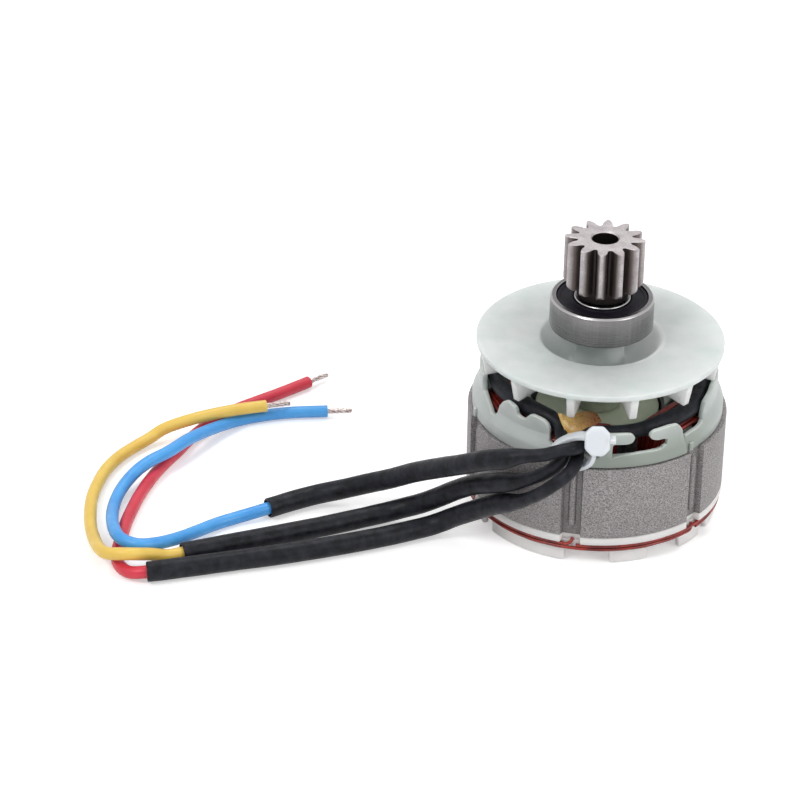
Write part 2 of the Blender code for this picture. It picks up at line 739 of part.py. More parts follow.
def front_sill(low):
    """The thicker part of the skirt below the hooks, flush with the stack's edge."""
    outer = STACK_RADIUS - SEAT_GAP
    inner = SKIRT_RADIUS - UPPER_WALL + OVERLAP
    start = TOOTH_AZIMUTH + slot_angle(STACK_RADIUS, WELD_GROOVE_WIDTH)
    end = start + 360.0 / TEETH - 2 * slot_angle(STACK_RADIUS, WELD_GROOVE_WIDTH)
    rings = []
    for k in range(13):
        azimuth = start + (end - start) * k / 12
        rings.append([
            azimuth_point(inner, azimuth, low), azimuth_point(outer, azimuth, low),
            azimuth_point(outer, azimuth, SILL_TOP - OVERLAP), azimuth_point(inner, azimuth, SILL_TOP),
        ])
    return loft("front_sill", rings, None, cutters)


def pegs(low):
    """Small pegs on the skirt, one beside each weld groove."""
    work = bmesh.new()
    offset = slot_angle(STACK_RADIUS, WELD_GROOVE_WIDTH) * 0.72
    for tooth in range(TEETH):
        angle = math.radians(TOOTH_AZIMUTH - offset + tooth * 360.0 / TEETH)
        made = bmesh.ops.create_cube(work, size=1.0)["verts"]
        inner = SKIRT_RADIUS - UPPER_WALL / 2
        outer = STACK_RADIUS - WELD_GROOVE_DEPTH / 3
        size = Matrix.Diagonal((PEG_WIDTH, outer - inner, PEG_HEIGHT, 1.0))
        move = Matrix.Translation((0.0, -(inner + outer) / 2, low + PEG_HEIGHT / 2))
        bmesh.ops.transform(work, matrix=Matrix.Rotation(angle, 4, "Z") @ move @ size, verts=made)
    return place("pegs", mesh_from(work, "pegs"), None, cutters)


def lower_insulator():
    """The nylon end cap below the stack, with the tabs that the motor stands on."""
    high = STACK_BOTTOM - SEAT_GAP / 3
    root = LOWER_CAP_BASE
    base = [(-180.0, TAB_ROOT)]
    for turn in range(-1, 3):
        for start, end in TAB_SPANS:
            left = start + turn * 120.0
            right = end + turn * 120.0
            if left > -180.0 and right < 180.0:
                base += [(left, TAB_ROOT), (left + 0.6, 0.0), (right - 0.6, 0.0), (right, TAB_ROOT)]
    base.append((180.0, TAB_ROOT))
    crest = [(-180.0, root + OVERLAP), (180.0, root + OVERLAP)]
    skirt = unrolled_wall(
        "skirt", crest, base, lambda height: TAB_RADIUS,
        lambda height: TAB_RADIUS - TAB_WALL, (TAB_ROOT + 0.0001,), cutters,
    )
    outlines = [
        stack_outer_outline(WELD_GROOVE_DEPTH * 1.3),
        slot_outline(TOOTH_WIDTH + FORMER_WIDTH_EXTRA, BORE_RADIUS + RUNNING_GAP, YOKE_RADIUS),
    ]
    cap = outline_solid("lower_insulator", outlines, root, high, "nylon", parts)
    boolean(cap, skirt, "UNION")
    boolean(cap, formers("lower_formers", high - LOWER_FORMER, high - OVERLAP), "UNION")
    return cap


def coil(number):
    """One concentrated winding round a tooth, with taller end turns than sides."""
    inside = TOOTH_WIDTH / 2 + FORMER_WIDTH_EXTRA / 2 + SEAT_GAP
    top = STACK_TOP + UPPER_FORMER + SEAT_GAP
    bottom = STACK_BOTTOM - LOWER_FORMER - SEAT_GAP
    angle = math.radians(TOOTH_AZIMUTH + number * 360.0 / TEETH)
    turn = Matrix.Rotation(angle, 3, "Z")
    span = COIL_OUTER_END - COIL_INNER_END
    section = (
        (0.0, 0.0, 0.0), (0.0, 0.84, 0.84), (0.16, 1.0, 1.0), (0.42, 1.0, 1.0), (0.60, 0.68, 0.58),
        (0.80, 0.48, 0.20), (1.0, 0.30, 0.10), (1.0, 0.0, 0.0),
    )
    corners = (
        (inside, bottom, -90.0), (inside, top, 0.0), (-inside, top, 90.0), (-inside, bottom, 180.0)
    )
    rings = []
    for across, height, start in corners:
        for k in range(4):
            direction = math.radians(start + 30.0 * k)
            lean = abs(math.sin(direction))
            end_build = COIL_TOP_BUILD if math.sin(direction) > 0 else COIL_BOTTOM_BUILD
            build = COIL_SIDE_BUILD + (end_build - COIL_SIDE_BUILD) * lean * lean
            ring = []
            for along, side_share, end_share in section:
                share = side_share + (end_share - side_share) * lean * lean
                out = 0.0001 + build * share
                point = Vector((
                    across + out * math.cos(direction),
                    -(COIL_INNER_END + span * along),
                    height + out * math.sin(direction),
                ))
                ring.append(turn @ point)
            rings.append(ring)
    return loft(f"coil_{number + 1}", rings, "copper", parts, closed=True)


def crossover(name, height, start, end):
    """A strand that runs round below the stack from coil to coil."""
    radius = TAB_RADIUS + CROSSOVER_RADIUS + SEAT_GAP
    points = [Vector(azimuth_point(radius, start + (end - start) * k / 24, height)) for k in range(25)]
    strand = tube(name, points, CROSSOVER_RADIUS, "copper")
    strand.data.bevel_resolution = 1
    return strand


def insulating_tape():
    """The amber sheet folded over the end turns behind the tie."""
    low = COIL_CROWN + TAPE_LIFT
    inner = COIL_INNER_END + TAPE_INSET
    outer = inner + TAPE_WIDTH
    rings = []
    for k in range(7):
        azimuth = -22.0 + 24.0 * k / 6
        crest = low + TAPE_LIFT / 2 + TAPE_RISE * math.sin(math.pi * k / 6)
        rings.append([
            azimuth_point(inner, azimuth, low),
            azimuth_point(outer, azimuth, crest),
            azimuth_point(outer, azimuth, crest + TAPE_THICKNESS),
            azimuth_point(inner, azimuth, low + TAPE_THICKNESS),
        ])
    return loft("insulating_tape", rings, "tape", parts)


def bearing(name, centre, outer, width, pitch, ball, balls, bore, outer_axis, cage_axis, rotor):
    """A sealed ball bearing: two rings, two seals, a crown cage and its balls."""
    half = width / 2
    land_in = pitch - ball * 0.76
    land_out = pitch + ball * 0.86
    seal_edge = land_out + ball * 0.27
    step = half - SEAL_RECESS - SEAL_THICKNESS - SEAT_GAP
    race = ball + RACE_CLEARANCE
    groove = [math.radians(angle) for angle in (-40.0, 0.0, 40.0)]
    outer_profile = [
        (outer - RING_CHAMFER, centre + half), (outer, centre + half - RING_CHAMFER),
        (outer, centre - half + RING_CHAMFER), (outer - RING_CHAMFER, centre - half),
        (seal_edge, centre - half), (seal_edge, centre - step), (land_out, centre - step),
    ]
    outer_profile += [
        (pitch + race * math.cos(a), centre + race * math.sin(a)) for a in groove
        if pitch + race * math.cos(a) > land_out
    ]
    outer_profile += [(land_out, centre + step), (seal_edge, centre + step), (seal_edge, centre + half)]
    turned(f"{name}_outer_ring", outer_profile, "steel", parts, outer_axis)
    inner_profile = [(land_in, centre + half)]
    inner_profile += [
        (pitch - race * math.cos(a), centre - race * math.sin(a)) for a in groove
        if pitch - race * math.cos(a) < land_in
    ]
    inner_profile += [
        (land_in, centre - half), (bore + RING_CHAMFER / 2, centre - half),
        (bore, centre - half + RING_CHAMFER / 2), (bore, centre + half - RING_CHAMFER / 2),
        (bore + RING_CHAMFER / 2, centre + half),
    ]
    turned(f"{name}_inner_ring", inner_profile, "steel", parts, rotor)
    for side, label in ((1, "upper"), (-1, "lower")):
        far = centre + side * (half - SEAL_RECESS)
        near = far - side * SEAL_THICKNESS
        top, low = max(far, near), min(far, near)
        turned(
            f"{name}_{label}_seal",
            [(seal_edge - SHAFT_FIT, top), (seal_edge - SHAFT_FIT, low),
             (land_in + SHAFT_FIT, low), (land_in + SHAFT_FIT, top)],
            "rubber", parts, outer_axis,
        )
    pocket = ball + RACE_CLEARANCE
    floor = centre - pocket - RACE_CLEARANCE
    cage = turned(
        f"{name}_cage",
        [(pitch + ball * 0.38, centre + ball * 0.45), (pitch + ball * 0.38, floor),
         (pitch - ball * 0.38, floor), (pitch - ball * 0.38, centre + ball * 0.45)],
        "nylon", parts, cage_axis, 21,
    )
    spheres = bmesh.new()
    for k in range(balls):
        at = azimuth_point(pitch, 360.0 * k / balls, centre)
        bmesh.ops.create_uvsphere(
            spheres, u_segments=8, v_segments=6, radius=pocket, matrix=Matrix.Translation(at)
        )
        work = bmesh.new()
        bmesh.ops.create_uvsphere(work, u_segments=8, v_segments=6, radius=ball)
        place(f"{name}_ball_{k + 1}", mesh_from(work, "ball"), "steel", parts, cage_axis, at)
    boolean(cage, place(f"{name}_pockets", mesh_from(spheres, "pockets"), None, cutters), "DIFFERENCE")


def shaft(rotor):
    front = FRONT_BEARING_TOP - 0.0002
    top = PINION_TOP - PINION_SHAFT_END_DEPTH
    main = SHAFT_RADIUS - SHAFT_FIT
    journal = REAR_JOURNAL_RADIUS - SHAFT_FIT
    nose = PINION_BORE_RADIUS - SHAFT_FIT
    chamfer = 0.0004
    profile = [
        (0.0, top), (nose - chamfer, top), (nose, top - chamfer), (nose, front), (main, front),
        (main, REAR_BEARING_TOP + SEAT_GAP), (journal, REAR_BEARING_TOP + SEAT_GAP),
        (journal, SHAFT_BOTTOM + chamfer), (journal - chamfer, SHAFT_BOTTOM), (0.0, SHAFT_BOTTOM),
    ]
    return turned("shaft", profile, "steel", parts, rotor)


def rotor_core(rotor):
    """The rotor's laminations, with a slot through them for each magnet."""
    low = REAR_BEARING_TOP + 2 * SEAT_GAP + ROTOR_PLATE
    high = STACK_TOP - ROTOR_PLATE
    hole = [(x, y) for x, y in arc(SHAFT_RADIUS, 0.0, 348.75, 31)]
    loops = [arc(ROTOR_RADIUS, -180.0, 172.5, 47), hole]
    for k in range(MAGNETS):
        angle = math.tau * k / MAGNETS
        half = (MAGNET_WIDTH / 2, MAGNET_THICKNESS / 2)
        corners = ((-half[0], -half[1]), (half[0], -half[1]), (half[0], half[1]), (-half[0], half[1]))
        loops.append([
            (x * math.cos(angle) - (y - MAGNET_OFFSET) * math.sin(angle),
             x * math.sin(angle) + (y - MAGNET_OFFSET) * math.cos(angle))
            for x, y in corners
        ])
    core = outline_solid("rotor_core", loops, low, high, "lamination", parts, rotor)
    for k in range(MAGNETS):
        work = bmesh.new()
        bmesh.ops.create_cube(work, size=1.0)
        size = Matrix.Diagonal((
            MAGNET_WIDTH - 2 * MAGNET_CLEARANCE, MAGNET_THICKNESS - 2 * MAGNET_CLEARANCE,
            high - low - 2 * MAGNET_CLEARANCE, 1.0,
        ))
        move = Matrix.Translation((0.0, -MAGNET_OFFSET, (low + high) / 2))
        turn = Matrix.Rotation(math.tau * k / MAGNETS, 4, "Z")
        bmesh.ops.transform(work, matrix=turn @ move @ size, verts=work.verts)
        place(f"magnet_{k + 1}", mesh_from(work, "magnet"), "magnet", parts, rotor)
    for name, base in (("rear", low - SEAT_GAP - ROTOR_PLATE), ("front", high + SEAT_GAP)):
        turned(
            f"{name}_balance_plate",
            [(ROTOR_RADIUS - RUNNING_GAP, base + ROTOR_PLATE), (ROTOR_RADIUS - RUNNING_GAP, base),
             (SHAFT_RADIUS, base), (SHAFT_RADIUS, base + ROTOR_PLATE)],
            "plate", parts, rotor,
        )
    return core


def spacer(rotor):
    """The sleeve on the shaft between the rotor's front plate and the fan's hub."""
    low = STACK_TOP + 2 * SEAT_GAP
    high = HUB_BOTTOM - SEAT_GAP
    profile = [
        (HUB_RADIUS, high), (HUB_RADIUS, low), (SHAFT_RADIUS, low), (SHAFT_RADIUS, high)
    ]
    return turned("shaft_spacer", profile, "steel", parts, rotor, 32)


def fan(rotor):
    """The moulded fan: a disc with a funnel round its hub and radial blades below."""
    top = FAN_TOP
    under = FAN_UNDERSIDE
    bowl = top - FUNNEL_DEPTH
    edge = 0.0003
    profile = [
        (HUB_RADIUS, FRONT_BEARING_BOTTOM - SEAT_GAP),
        (HUB_RADIUS, bowl + 0.0004),
        (HUB_RADIUS + 0.0012, bowl),
        (FUNNEL_RADIUS - 0.0042, bowl + 0.0016),
        (FUNNEL_RADIUS - 0.0014, top - 0.0018),
        (FUNNEL_RADIUS - 0.0003, top - 0.0004),
        (FUNNEL_RADIUS, top),
        (FAN_RADIUS - edge, top),
        (FAN_RADIUS, top - edge),
        (FAN_RADIUS, under + edge),
        (FAN_RADIUS - edge, under),
        (FUNNEL_RADIUS + 0.0010, under),
        (FUNNEL_RADIUS - 0.0004, under - 0.0012),
        (FUNNEL_RADIUS - 0.0038, bowl),
        (HUB_RADIUS + 0.0018, bowl - FAN_THICKNESS),
        (HUB_RADIUS + 0.0004, bowl - FAN_THICKNESS - 0.0006),
        (HUB_RADIUS + 0.0002, HUB_BOTTOM),
        (SHAFT_RADIUS, HUB_BOTTOM),
        (SHAFT_RADIUS, FRONT_BEARING_BOTTOM - SEAT_GAP),
    ]
    wheel = turned("fan", profile, "fan", parts, rotor, 42)
    half = FAN_BLADE_THICKNESS / 2
    outline = (
        (FAN_RADIUS - edge, under + OVERLAP),
        (FAN_RADIUS - edge, under),
        (FAN_RADIUS - FAN_BLADE_LEAN, BLADE_BOTTOM),
        (FUNNEL_RADIUS + 0.0012, BLADE_BOTTOM + FAN_BLADE_RISE),
        (FUNNEL_RADIUS + 0.0012, under + OVERLAP),
    )
    blades = bmesh.new()
    for k in range(FAN_BLADES):
        turn = Matrix.Rotation(math.radians(FAN_BLADE_PHASE + k * 360.0 / FAN_BLADES), 3, "Z")
        sides = [
            [blades.verts.new(turn @ Vector((across, -radius, height))) for radius, height in outline]
            for across in (-half, half)
        ]
        blades.faces.new(sides[0])
        blades.faces.new(sides[1][::-1])
        count = len(outline)
        for i in range(count):
            j = (i + 1) % count
            blades.faces.new((sides[0][i], sides[1][i], sides[1][j], sides[0][j]))
    boolean(wheel, place("fan_blades", mesh_from(blades, "fan_blades"), None, cutters), "UNION")
    return wheel


def involute(angle):
    return math.tan(angle) - angle


def pinion_outline():
    """The pinion's tooth outline: involute flanks, tip lands and round roots."""
    pitch = PINION_MODULE * PINION_TEETH / 2
    pressure = math.radians(PRESSURE_ANGLE)
    base = pitch * math.cos(pressure)
    tip = pitch + PINION_MODULE * (1 + PINION_SHIFT)
    root = pitch - PINION_MODULE * (1.25 - PINION_SHIFT)
    half_at_pitch = (math.pi / 2 + 2 * PINION_SHIFT * math.tan(pressure)) / PINION_TEETH
    loop = []
    for tooth in range(PINION_TEETH):
        middle = math.radians(PINION_PHASE) + math.tau * tooth / PINION_TEETH
        flank = []
        for k in range(3):
            radius = base + (tip - base) * k / 2
            spread = half_at_pitch + involute(pressure) - involute(math.acos(base / radius))
            flank.append((radius, spread))
        flank = [(root, flank[0][1] * 1.12), *flank]
        for radius, spread in flank:
            loop.append((radius * math.cos(middle - spread), radius * math.sin(middle - spread)))
        for radius, spread in reversed(flank):
            loop.append((radius * math.cos(middle + spread), radius * math.sin(middle + spread)))
    return loop, root, tip


def pinion(rotor):
    """The 12-tooth pinion with its collar, pressed on the shaft's nose."""
    loop, root, tip = pinion_outline()
    teeth_bottom = PINION_BOTTOM + PINION_NECK_LENGTH
    gear = outline_solid(
        "pinion", [loop], teeth_bottom, PINION_TOP, "sintered", parts, rotor
    )
    over = 0.0005
    land = tip - PINION_TIP_CHAMFER
    envelope = turned(
        "pinion_envelope",
        [(0.0, PINION_TOP + over), (land, PINION_TOP + over), (land, PINION_TOP),
         (tip + over, PINION_TOP - over), (tip + over, teeth_bottom + PINION_ROOT_ROUND + over),
         (tip - 0.0003, teeth_bottom + 0.0006), (tip - PINION_ROOT_ROUND, teeth_bottom),
         (tip - PINION_ROOT_ROUND, teeth_bottom - over), (0.0, teeth_bottom - over)],
        None, cutters, segments=24,
    )
    boolean(gear, envelope, "INTERSECT")
    collar = turned(
        "pinion_collar",
        [(0.0, teeth_bottom + OVERLAP), (PINION_NECK_RADIUS, teeth_bottom + OVERLAP),
         (PINION_NECK_RADIUS, PINION_BOTTOM), (0.0, PINION_BOTTOM)],
        None, cutters, segments=24,
    )
    boolean(gear, collar, "UNION")
    chamfer = PINION_BORE_CHAMFER
    bore = turned(
        "pinion_bore",
        [(0.0, PINION_TOP + chamfer), (PINION_BORE_RADIUS + 2 * chamfer, PINION_TOP + chamfer),
         (PINION_BORE_RADIUS, PINION_TOP - chamfer), (PINION_BORE_RADIUS, PINION_BOTTOM - chamfer),
         (0.0, PINION_BOTTOM - chamfer)],
        None, cutters, segments=24,
    )
    boolean(gear, bore, "DIFFERENCE")
    return gear


def sleeve_width(x):
    """How wide a sleeve is along its run, as a share of its full radius."""
    thin = LEAD_NECK_RADIUS / LEAD_RADIUS
    if x > SLEEVE_THIN_UNTIL:
        return thin
    if x < SLEEVE_FULL_FROM:
        return 1.0
    return thin + (1.0 - thin) * (SLEEVE_THIN_UNTIL - x) / (SLEEVE_THIN_UNTIL - SLEEVE_FULL_FROM)


def stretch(curve, spacing):
    """A run of the curve at even steps, its square ends half a join's gap short."""
    points = evenly(curve, spacing)
    fine = evenly(curve, END_STEP)
    start = fine[0].lerp(fine[1], LEAD_JOIN_GAP / 2 / END_STEP)
    end = fine[-1].lerp(fine[-2], LEAD_JOIN_GAP / 2 / END_STEP)
    return [start, fine[1], *points[1:-1], fine[-2], end]


def inner_width(at):
    """How wide a lead is inside the cap: full behind the wall, thin towards the tie."""
    thin = LEAD_NECK_RADIUS / INNER_LEAD_RADIUS
    share = (at.y - INNER_THIN_FROM) / (INNER_FULL_FROM - INNER_THIN_FROM)
    return thin + (1.0 - thin) * min(1.0, max(0.0, share))


def leads():
    """The three leads: inside the cap, in their sleeves, bare wire, and tinned tip."""
    for colour in ("blue", "yellow", "red"):
        inner, sleeve, wire = INNER_ROUTES[colour], SLEEVE_ROUTES[colour], WIRE_ROUTES[colour]
        whole = smooth_route((*inner, *sleeve, *wire), ROUTE_STEPS)
        first = (len(inner) - 1) * ROUTE_STEPS + ROUTE_STEPS // 2
        second = (len(inner) + len(sleeve) - 1) * ROUTE_STEPS
        hidden = stretch(whole[: first + 1], INNER_SPACING)
        tube(
            f"inner_lead_{colour}", hidden, INNER_LEAD_RADIUS, "sleeve",
            widths=[inner_width(at) for at in hidden],
        )
        covered = stretch(whole[first : second + 1], SLEEVE_SPACING)
        tube(
            f"sleeve_{colour}", covered, LEAD_RADIUS, "sleeve",
            widths=[sleeve_width(at.x) for at in covered],
        )
        bare = stretch(whole[second:], WIRE_SPACING)
        tube(f"wire_{colour}", bare, WIRE_RADIUS, colour)
        heading = (bare[-1] - bare[-2]).normalized()
        tip = [bare[-1] + heading * (SEAT_GAP + TIP_LENGTH * k / 3) for k in range(4)]
        tube(f"tip_{colour}", tip, TIP_RADIUS, "tin")


def ribbon(points, width, thickness):
    """The sections of a flat strap along the points, its width held level with the axis."""
    rings = []
    for k, at in enumerate(points):
        ahead = points[min(k + 1, len(points) - 1)] - points[max(k - 1, 0)]
        ahead.normalize()
        across = (Vector((0.0, -1.0, 0.0)) - ahead * -ahead.y).normalized()
        out = ahead.cross(across).normalized()
        rings.append([
            at + across * (a * width / 2) + out * (o * thickness / 2)
            for a, o in ((-1, -1), (1, -1), (1, 1), (-1, 1))
        ])
    return rings


def cable_tie():
    """The tie: an eight-sided head, the loop round the three leads and its cut tail."""
    points = evenly(smooth_route(TIE_ROUTE, 5), 0.0022)
    strap = loft("tie_strap", ribbon(points, TIE_WIDTH, TIE_THICKNESS), None, cutters)
    width, height, depth = TIE_HEAD
    corner = width * 0.27
    x, y = width / 2, height / 2
    face = (
        (-x, -y + corner), (-x + corner, -y), (x - corner, -y), (x, -y + corner),
        (x, y - corner), (x - corner, y), (-x + corner, y), (-x, y - corner),
    )
    tilt = Matrix.Rotation(math.radians(90.0 - TIE_HEAD_TILT), 4, "X")
    move = Matrix.Translation(TIE_HEAD_CENTRE)
    rings = []
    for share, scale in ((-0.5, 0.86), (-0.36, 1.0), (0.36, 1.0), (0.5, 0.86)):
        rings.append([
            move @ tilt @ Vector((a * scale, b * scale, depth * share)) for a, b in face
        ])
    head = loft("cable_tie", rings, "tie", parts)
    boolean(head, strap, "UNION")
    tail = [
        move @ tilt @ Vector((width * share, height * 0.06, depth * 0.1)) for share in (0.3, 0.5, 0.72)
    ]
    stub = loft("tie_tail", ribbon(tail, TIE_WIDTH, TIE_THICKNESS), None, cutters)
    boolean(head, stub, "UNION")
    return head


clear_scene()
parts = collection("mower_motor")
cutters = collection("cutters")

lamination_stack()
upper_insulator()
lower_insulator()
for number in range(TEETH):
    coil(number)
crossover("crossover_wire_1", LOWER_CAP_BASE - CROSSOVER_DROP, -168.0, 96.0)
crossover(
    "crossover_wire_2", LOWER_CAP_BASE - CROSSOVER_DROP - CROSSOVER_STEP, -84.0, 168.0
)
insulating_tape()

rotor_axis = axis_empty("rotor_axis")
front_ring_axis = axis_empty("front_ring_axis")
front_cage_axis = axis_empty("front_cage_axis")
rear_ring_axis = axis_empty("rear_ring_axis")
rear_cage_axis = axis_empty("rear_cage_axis")

shaft(rotor_axis)
rotor_core(rotor_axis)
spacer(rotor_axis)
fan(rotor_axis)
pinion(rotor_axis)
bearing(
    "front", FRONT_BEARING_TOP - FRONT_BEARING_WIDTH / 2, FRONT_BEARING_RADIUS,
    FRONT_BEARING_WIDTH, FRONT_PITCH_RADIUS, FRONT_BALL_RADIUS, FRONT_BALLS,
    SHAFT_RADIUS, front_ring_axis, front_cage_axis, rotor_axis,
)
bearing(
    "rear", REAR_BEARING_BOTTOM + REAR_BEARING_WIDTH / 2, REAR_BEARING_RADIUS,
    REAR_BEARING_WIDTH, REAR_PITCH_RADIUS, REAR_BALL_RADIUS, REAR_BALLS,
    REAR_JOURNAL_RADIUS, rear_ring_axis, rear_cage_axis, rotor_axis,
)
leads()
cable_tie()
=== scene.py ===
"""Looks for the mower motor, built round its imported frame.

Units are metres, as in the frame. Every visible node of the frame is replaced by a finer
piece in the same place, or gets a procedural material.
"""

import math
import random

import bmesh
import bpy
from mathutils import Matrix, Vector, noise


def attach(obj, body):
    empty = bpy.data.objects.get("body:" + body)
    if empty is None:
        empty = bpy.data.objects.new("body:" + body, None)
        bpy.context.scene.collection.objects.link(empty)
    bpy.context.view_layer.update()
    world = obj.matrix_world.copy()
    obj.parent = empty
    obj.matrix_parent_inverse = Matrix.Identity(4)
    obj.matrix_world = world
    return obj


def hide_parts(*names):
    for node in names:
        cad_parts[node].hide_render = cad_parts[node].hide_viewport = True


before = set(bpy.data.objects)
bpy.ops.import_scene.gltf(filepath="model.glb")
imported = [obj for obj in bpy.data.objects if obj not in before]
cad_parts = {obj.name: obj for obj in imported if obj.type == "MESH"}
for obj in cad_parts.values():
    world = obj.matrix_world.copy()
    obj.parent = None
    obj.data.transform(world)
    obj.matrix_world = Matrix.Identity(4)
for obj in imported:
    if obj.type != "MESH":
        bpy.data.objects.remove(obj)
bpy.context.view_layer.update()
SEED = 11

# Camera, fitted to the photograph's circles
CAMERA_PLACE = (-0.02699, -0.59469, 0.36730)
CAMERA_YAW = -0.0257
CAMERA_PITCH = 0.5246
CAMERA_ROLL = 0.014
CAMERA_LENS = 144.0
SENSOR = 36.0

# Stator sizes, the same as in the frame
STACK_RADIUS = 0.0277
STACK_BOTTOM = 0.0068
STACK_TOP = 0.0236
TEETH = 6
TOOTH_AZIMUTH = -11.5
TOOTH_WIDTH = 0.0075
YOKE_RADIUS = 0.0232
BORE_RADIUS = 0.0138
LIP_RADIUS = 0.01476
ROOT_RADIUS = 0.01588
SLOT_MOUTH = 0.0024
GROOVE_WIDTH = 0.0044
GROOVE_DEPTH = 0.0012
BEAD_RADIUS = 0.0009
CAP_LOW = 0.0237
CAP_FLANGE = 0.0012
CAP_WALL = 0.0011
WALL_RADIUS = 0.0254
SKIRT_RADIUS = 0.0268
SHOULDER_LOW = 0.0263
SHOULDER_HIGH = 0.0290
WALL_TOP = 0.0334
FORMER_TOP = 0.0262
SILL_RADIUS = 0.0274
TAB_RADIUS = 0.0265
TAB_WALL = 0.0011
TAB_ROOT = 0.0036
LOWER_FLANGE_TOP = 0.0067
LOWER_FLANGE = 0.0017
LOWER_FORMER_BOTTOM = 0.0043

# Windings
COIL_INNER_END = 0.0161
COIL_OUTER_END = 0.0230
COIL_INSIDE = 0.0046
COIL_SIDE_BUILD = 0.0027
COIL_TOP_BUILD = 0.0030
COIL_BOTTOM_BUILD = 0.0028
COIL_TOP = 0.0266
COIL_BOTTOM = 0.0040
COIL_FLARE = 0.0010
STRAND = 0.00045
COIL_SECTION = (
    (0.0, 0.84, 0.50), (0.16, 1.0, 0.85), (0.35, 1.0, 1.0), (0.42, 1.0, 0.98), (0.52, 0.82, 0.95),
    (0.60, 0.72, 0.76), (0.66, 0.68, 0.62), (0.80, 0.60, 0.40), (1.0, 0.42, 0.30),
)
CROSSOVER_RADIUS = 0.00038
CROSSOVER_RING = 0.0271

# Rotor and bearing
SHAFT_NOSE = 0.0026
SHAFT_MAIN = 0.0038
SHAFT_END = 0.0574
FAN_RADIUS = 0.0263
FAN_TOP = 0.0402
FAN_UNDER = 0.0389
FUNNEL_RADIUS = 0.0131
FUNNEL_DEPTH = 0.0062
HUB_RADIUS = 0.00515
HUB_TOP = 0.0426
HUB_BOTTOM = 0.0300
BLADES = 12
BLADE_PHASE = 15.0
BLADE_BOTTOM = 0.0339
BLADE_THICKNESS = 0.0016
BLADE_LEAN = 0.0013
BLADE_RISE = 0.0010
BEARING_TOP = 0.0499
BEARING_WIDTH = 0.0070
BEARING_RADIUS = 0.0110
BEARING_BORE = 0.0040
SEAL_OUTER = 0.00974
INNER_RING_RADIUS = 0.0060
SEAL_RECESS = 0.0003
PINION_TEETH = 12
PINION_MODULE = 0.00118
PINION_SHIFT = 0.13
PRESSURE_ANGLE = 20.0
PINION_PHASE = 24.0
PINION_BOTTOM = 0.0502
PINION_NECK = 0.0527
PINION_TOP = 0.0634
PINION_NECK_RADIUS = 0.00545
PINION_BORE = 0.0028
PINION_BORE_CHAMFER = 0.0003

# Leads
SLEEVE_RADIUS = 0.0022
SLEEVE_THIN = 0.0014
INNER_RADIUS = 0.00185
WIRE_RADIUS = 0.001375
TIP_LENGTH = 0.0056
SLEEVE_THIN_UNTIL = -0.0140
SLEEVE_FULL_FROM = -0.0205
INNER_THIN_FROM = -0.0218
INNER_FULL_FROM = -0.0185
ROUTE_STEPS = 8
TIE_WIDTH = 0.0022
TIE_THICKNESS = 0.0009
TIE_HEAD = (0.0052, 0.0061, 0.0034)
TIE_HEAD_CENTRE = (-0.00095, -0.0310, 0.0325)
TIE_HEAD_TILT = 28.0

# Routes in millimetres, the same as in the frame
INNER_ROUTES = {
    "blue": (
        (21.5, 3.0, 31.2), (21.9, -2.6, 30.4), (21.0, -7.4, 30.0), (19.0, -11.7, 29.9),
        (15.6, -15.9, 29.9), (11.6, -19.0, 29.7), (7.6, -20.8, 29.4), (3.8, -21.7, 29.4),
        (0.5, -22.1, 29.5), (-1.8, -23.1, 29.8), (-3.0, -24.9, 30.1), (-3.3, -26.7, 30.2),
    ),
    "yellow": (
        (-21.2, 5.0, 30.6), (-21.8, -1.0, 30.9), (-21.1, -6.0, 31.1), (-19.0, -10.5, 31.2),
        (-16.0, -14.4, 31.2), (-12.5, -17.6, 31.0), (-10.0, -19.5, 30.7), (-8.5, -21.5, 30.1),
        (-8.1, -23.7, 29.5), (-7.9, -25.8, 28.7), (-7.7, -27.7, 28.1), (-8.1, -29.4, 27.2),
    ),
    "red": (
        (-4.7, -23.3, 27.9), (-4.9, -24.6, 28.0), (-5.0, -26.1, 27.9), (-4.8, -27.7, 27.5),
        (-4.9, -29.3, 26.9), (-5.6, -31.2, 26.2),
    ),
}
SLEEVE_ROUTES = {
    "blue": (
        (-3.8, -28.3, 30.1), (-5.2, -29.9, 30.1), (-8.0, -30.9, 30.0), (-12.0, -31.4, 29.1),
        (-16.6, -30.7, 28.2), (-20.1, -29.3, 26.6), (-23.8, -27.2, 24.9), (-28.4, -23.4, 21.5),
        (-33.4, -18.5, 17.5), (-38.6, -13.8, 13.4), (-43.8, -10.1, 9.4), (-49.1, -7.6, 6.4),
        (-54.4, -6.4, 4.1), (-59.6, -6.6, 2.8), (-64.8, -8.7, 2.3), (-70.0, -12.1, 2.3),
    ),
    "yellow": (
        (-9.3, -30.2, 25.7), (-12.2, -29.8, 23.3), (-16.3, -28.1, 20.7), (-20.6, -25.1, 18.3),
        (-25.7, -20.7, 15.0), (-29.6, -17.2, 11.4), (-33.1, -14.9, 8.2), (-37.0, -13.6, 5.6),
        (-41.0, -12.9, 3.8), (-46.2, -13.7, 2.6), (-56.4, -18.1, 2.3), (-66.8, -22.5, 2.3),
        (-77.1, -26.7, 2.3), (-86.8, -30.7, 2.3),
    ),
    "red": (
        (-7.2, -33.1, 25.2), (-10.4, -33.1, 22.3), (-13.1, -31.4, 19.3), (-16.5, -28.4, 15.9),
        (-20.9, -24.5, 12.7), (-25.5, -20.7, 8.7), (-29.8, -18.5, 5.5), (-33.0, -17.8, 3.5),
        (-36.5, -18.4, 2.5), (-45.9, -22.6, 2.3), (-56.0, -26.6, 2.3), (-66.3, -30.2, 2.3),
        (-76.6, -33.3, 2.3), (-85.8, -36.1, 2.3), (-93.5, -38.3, 2.3),
    ),
}
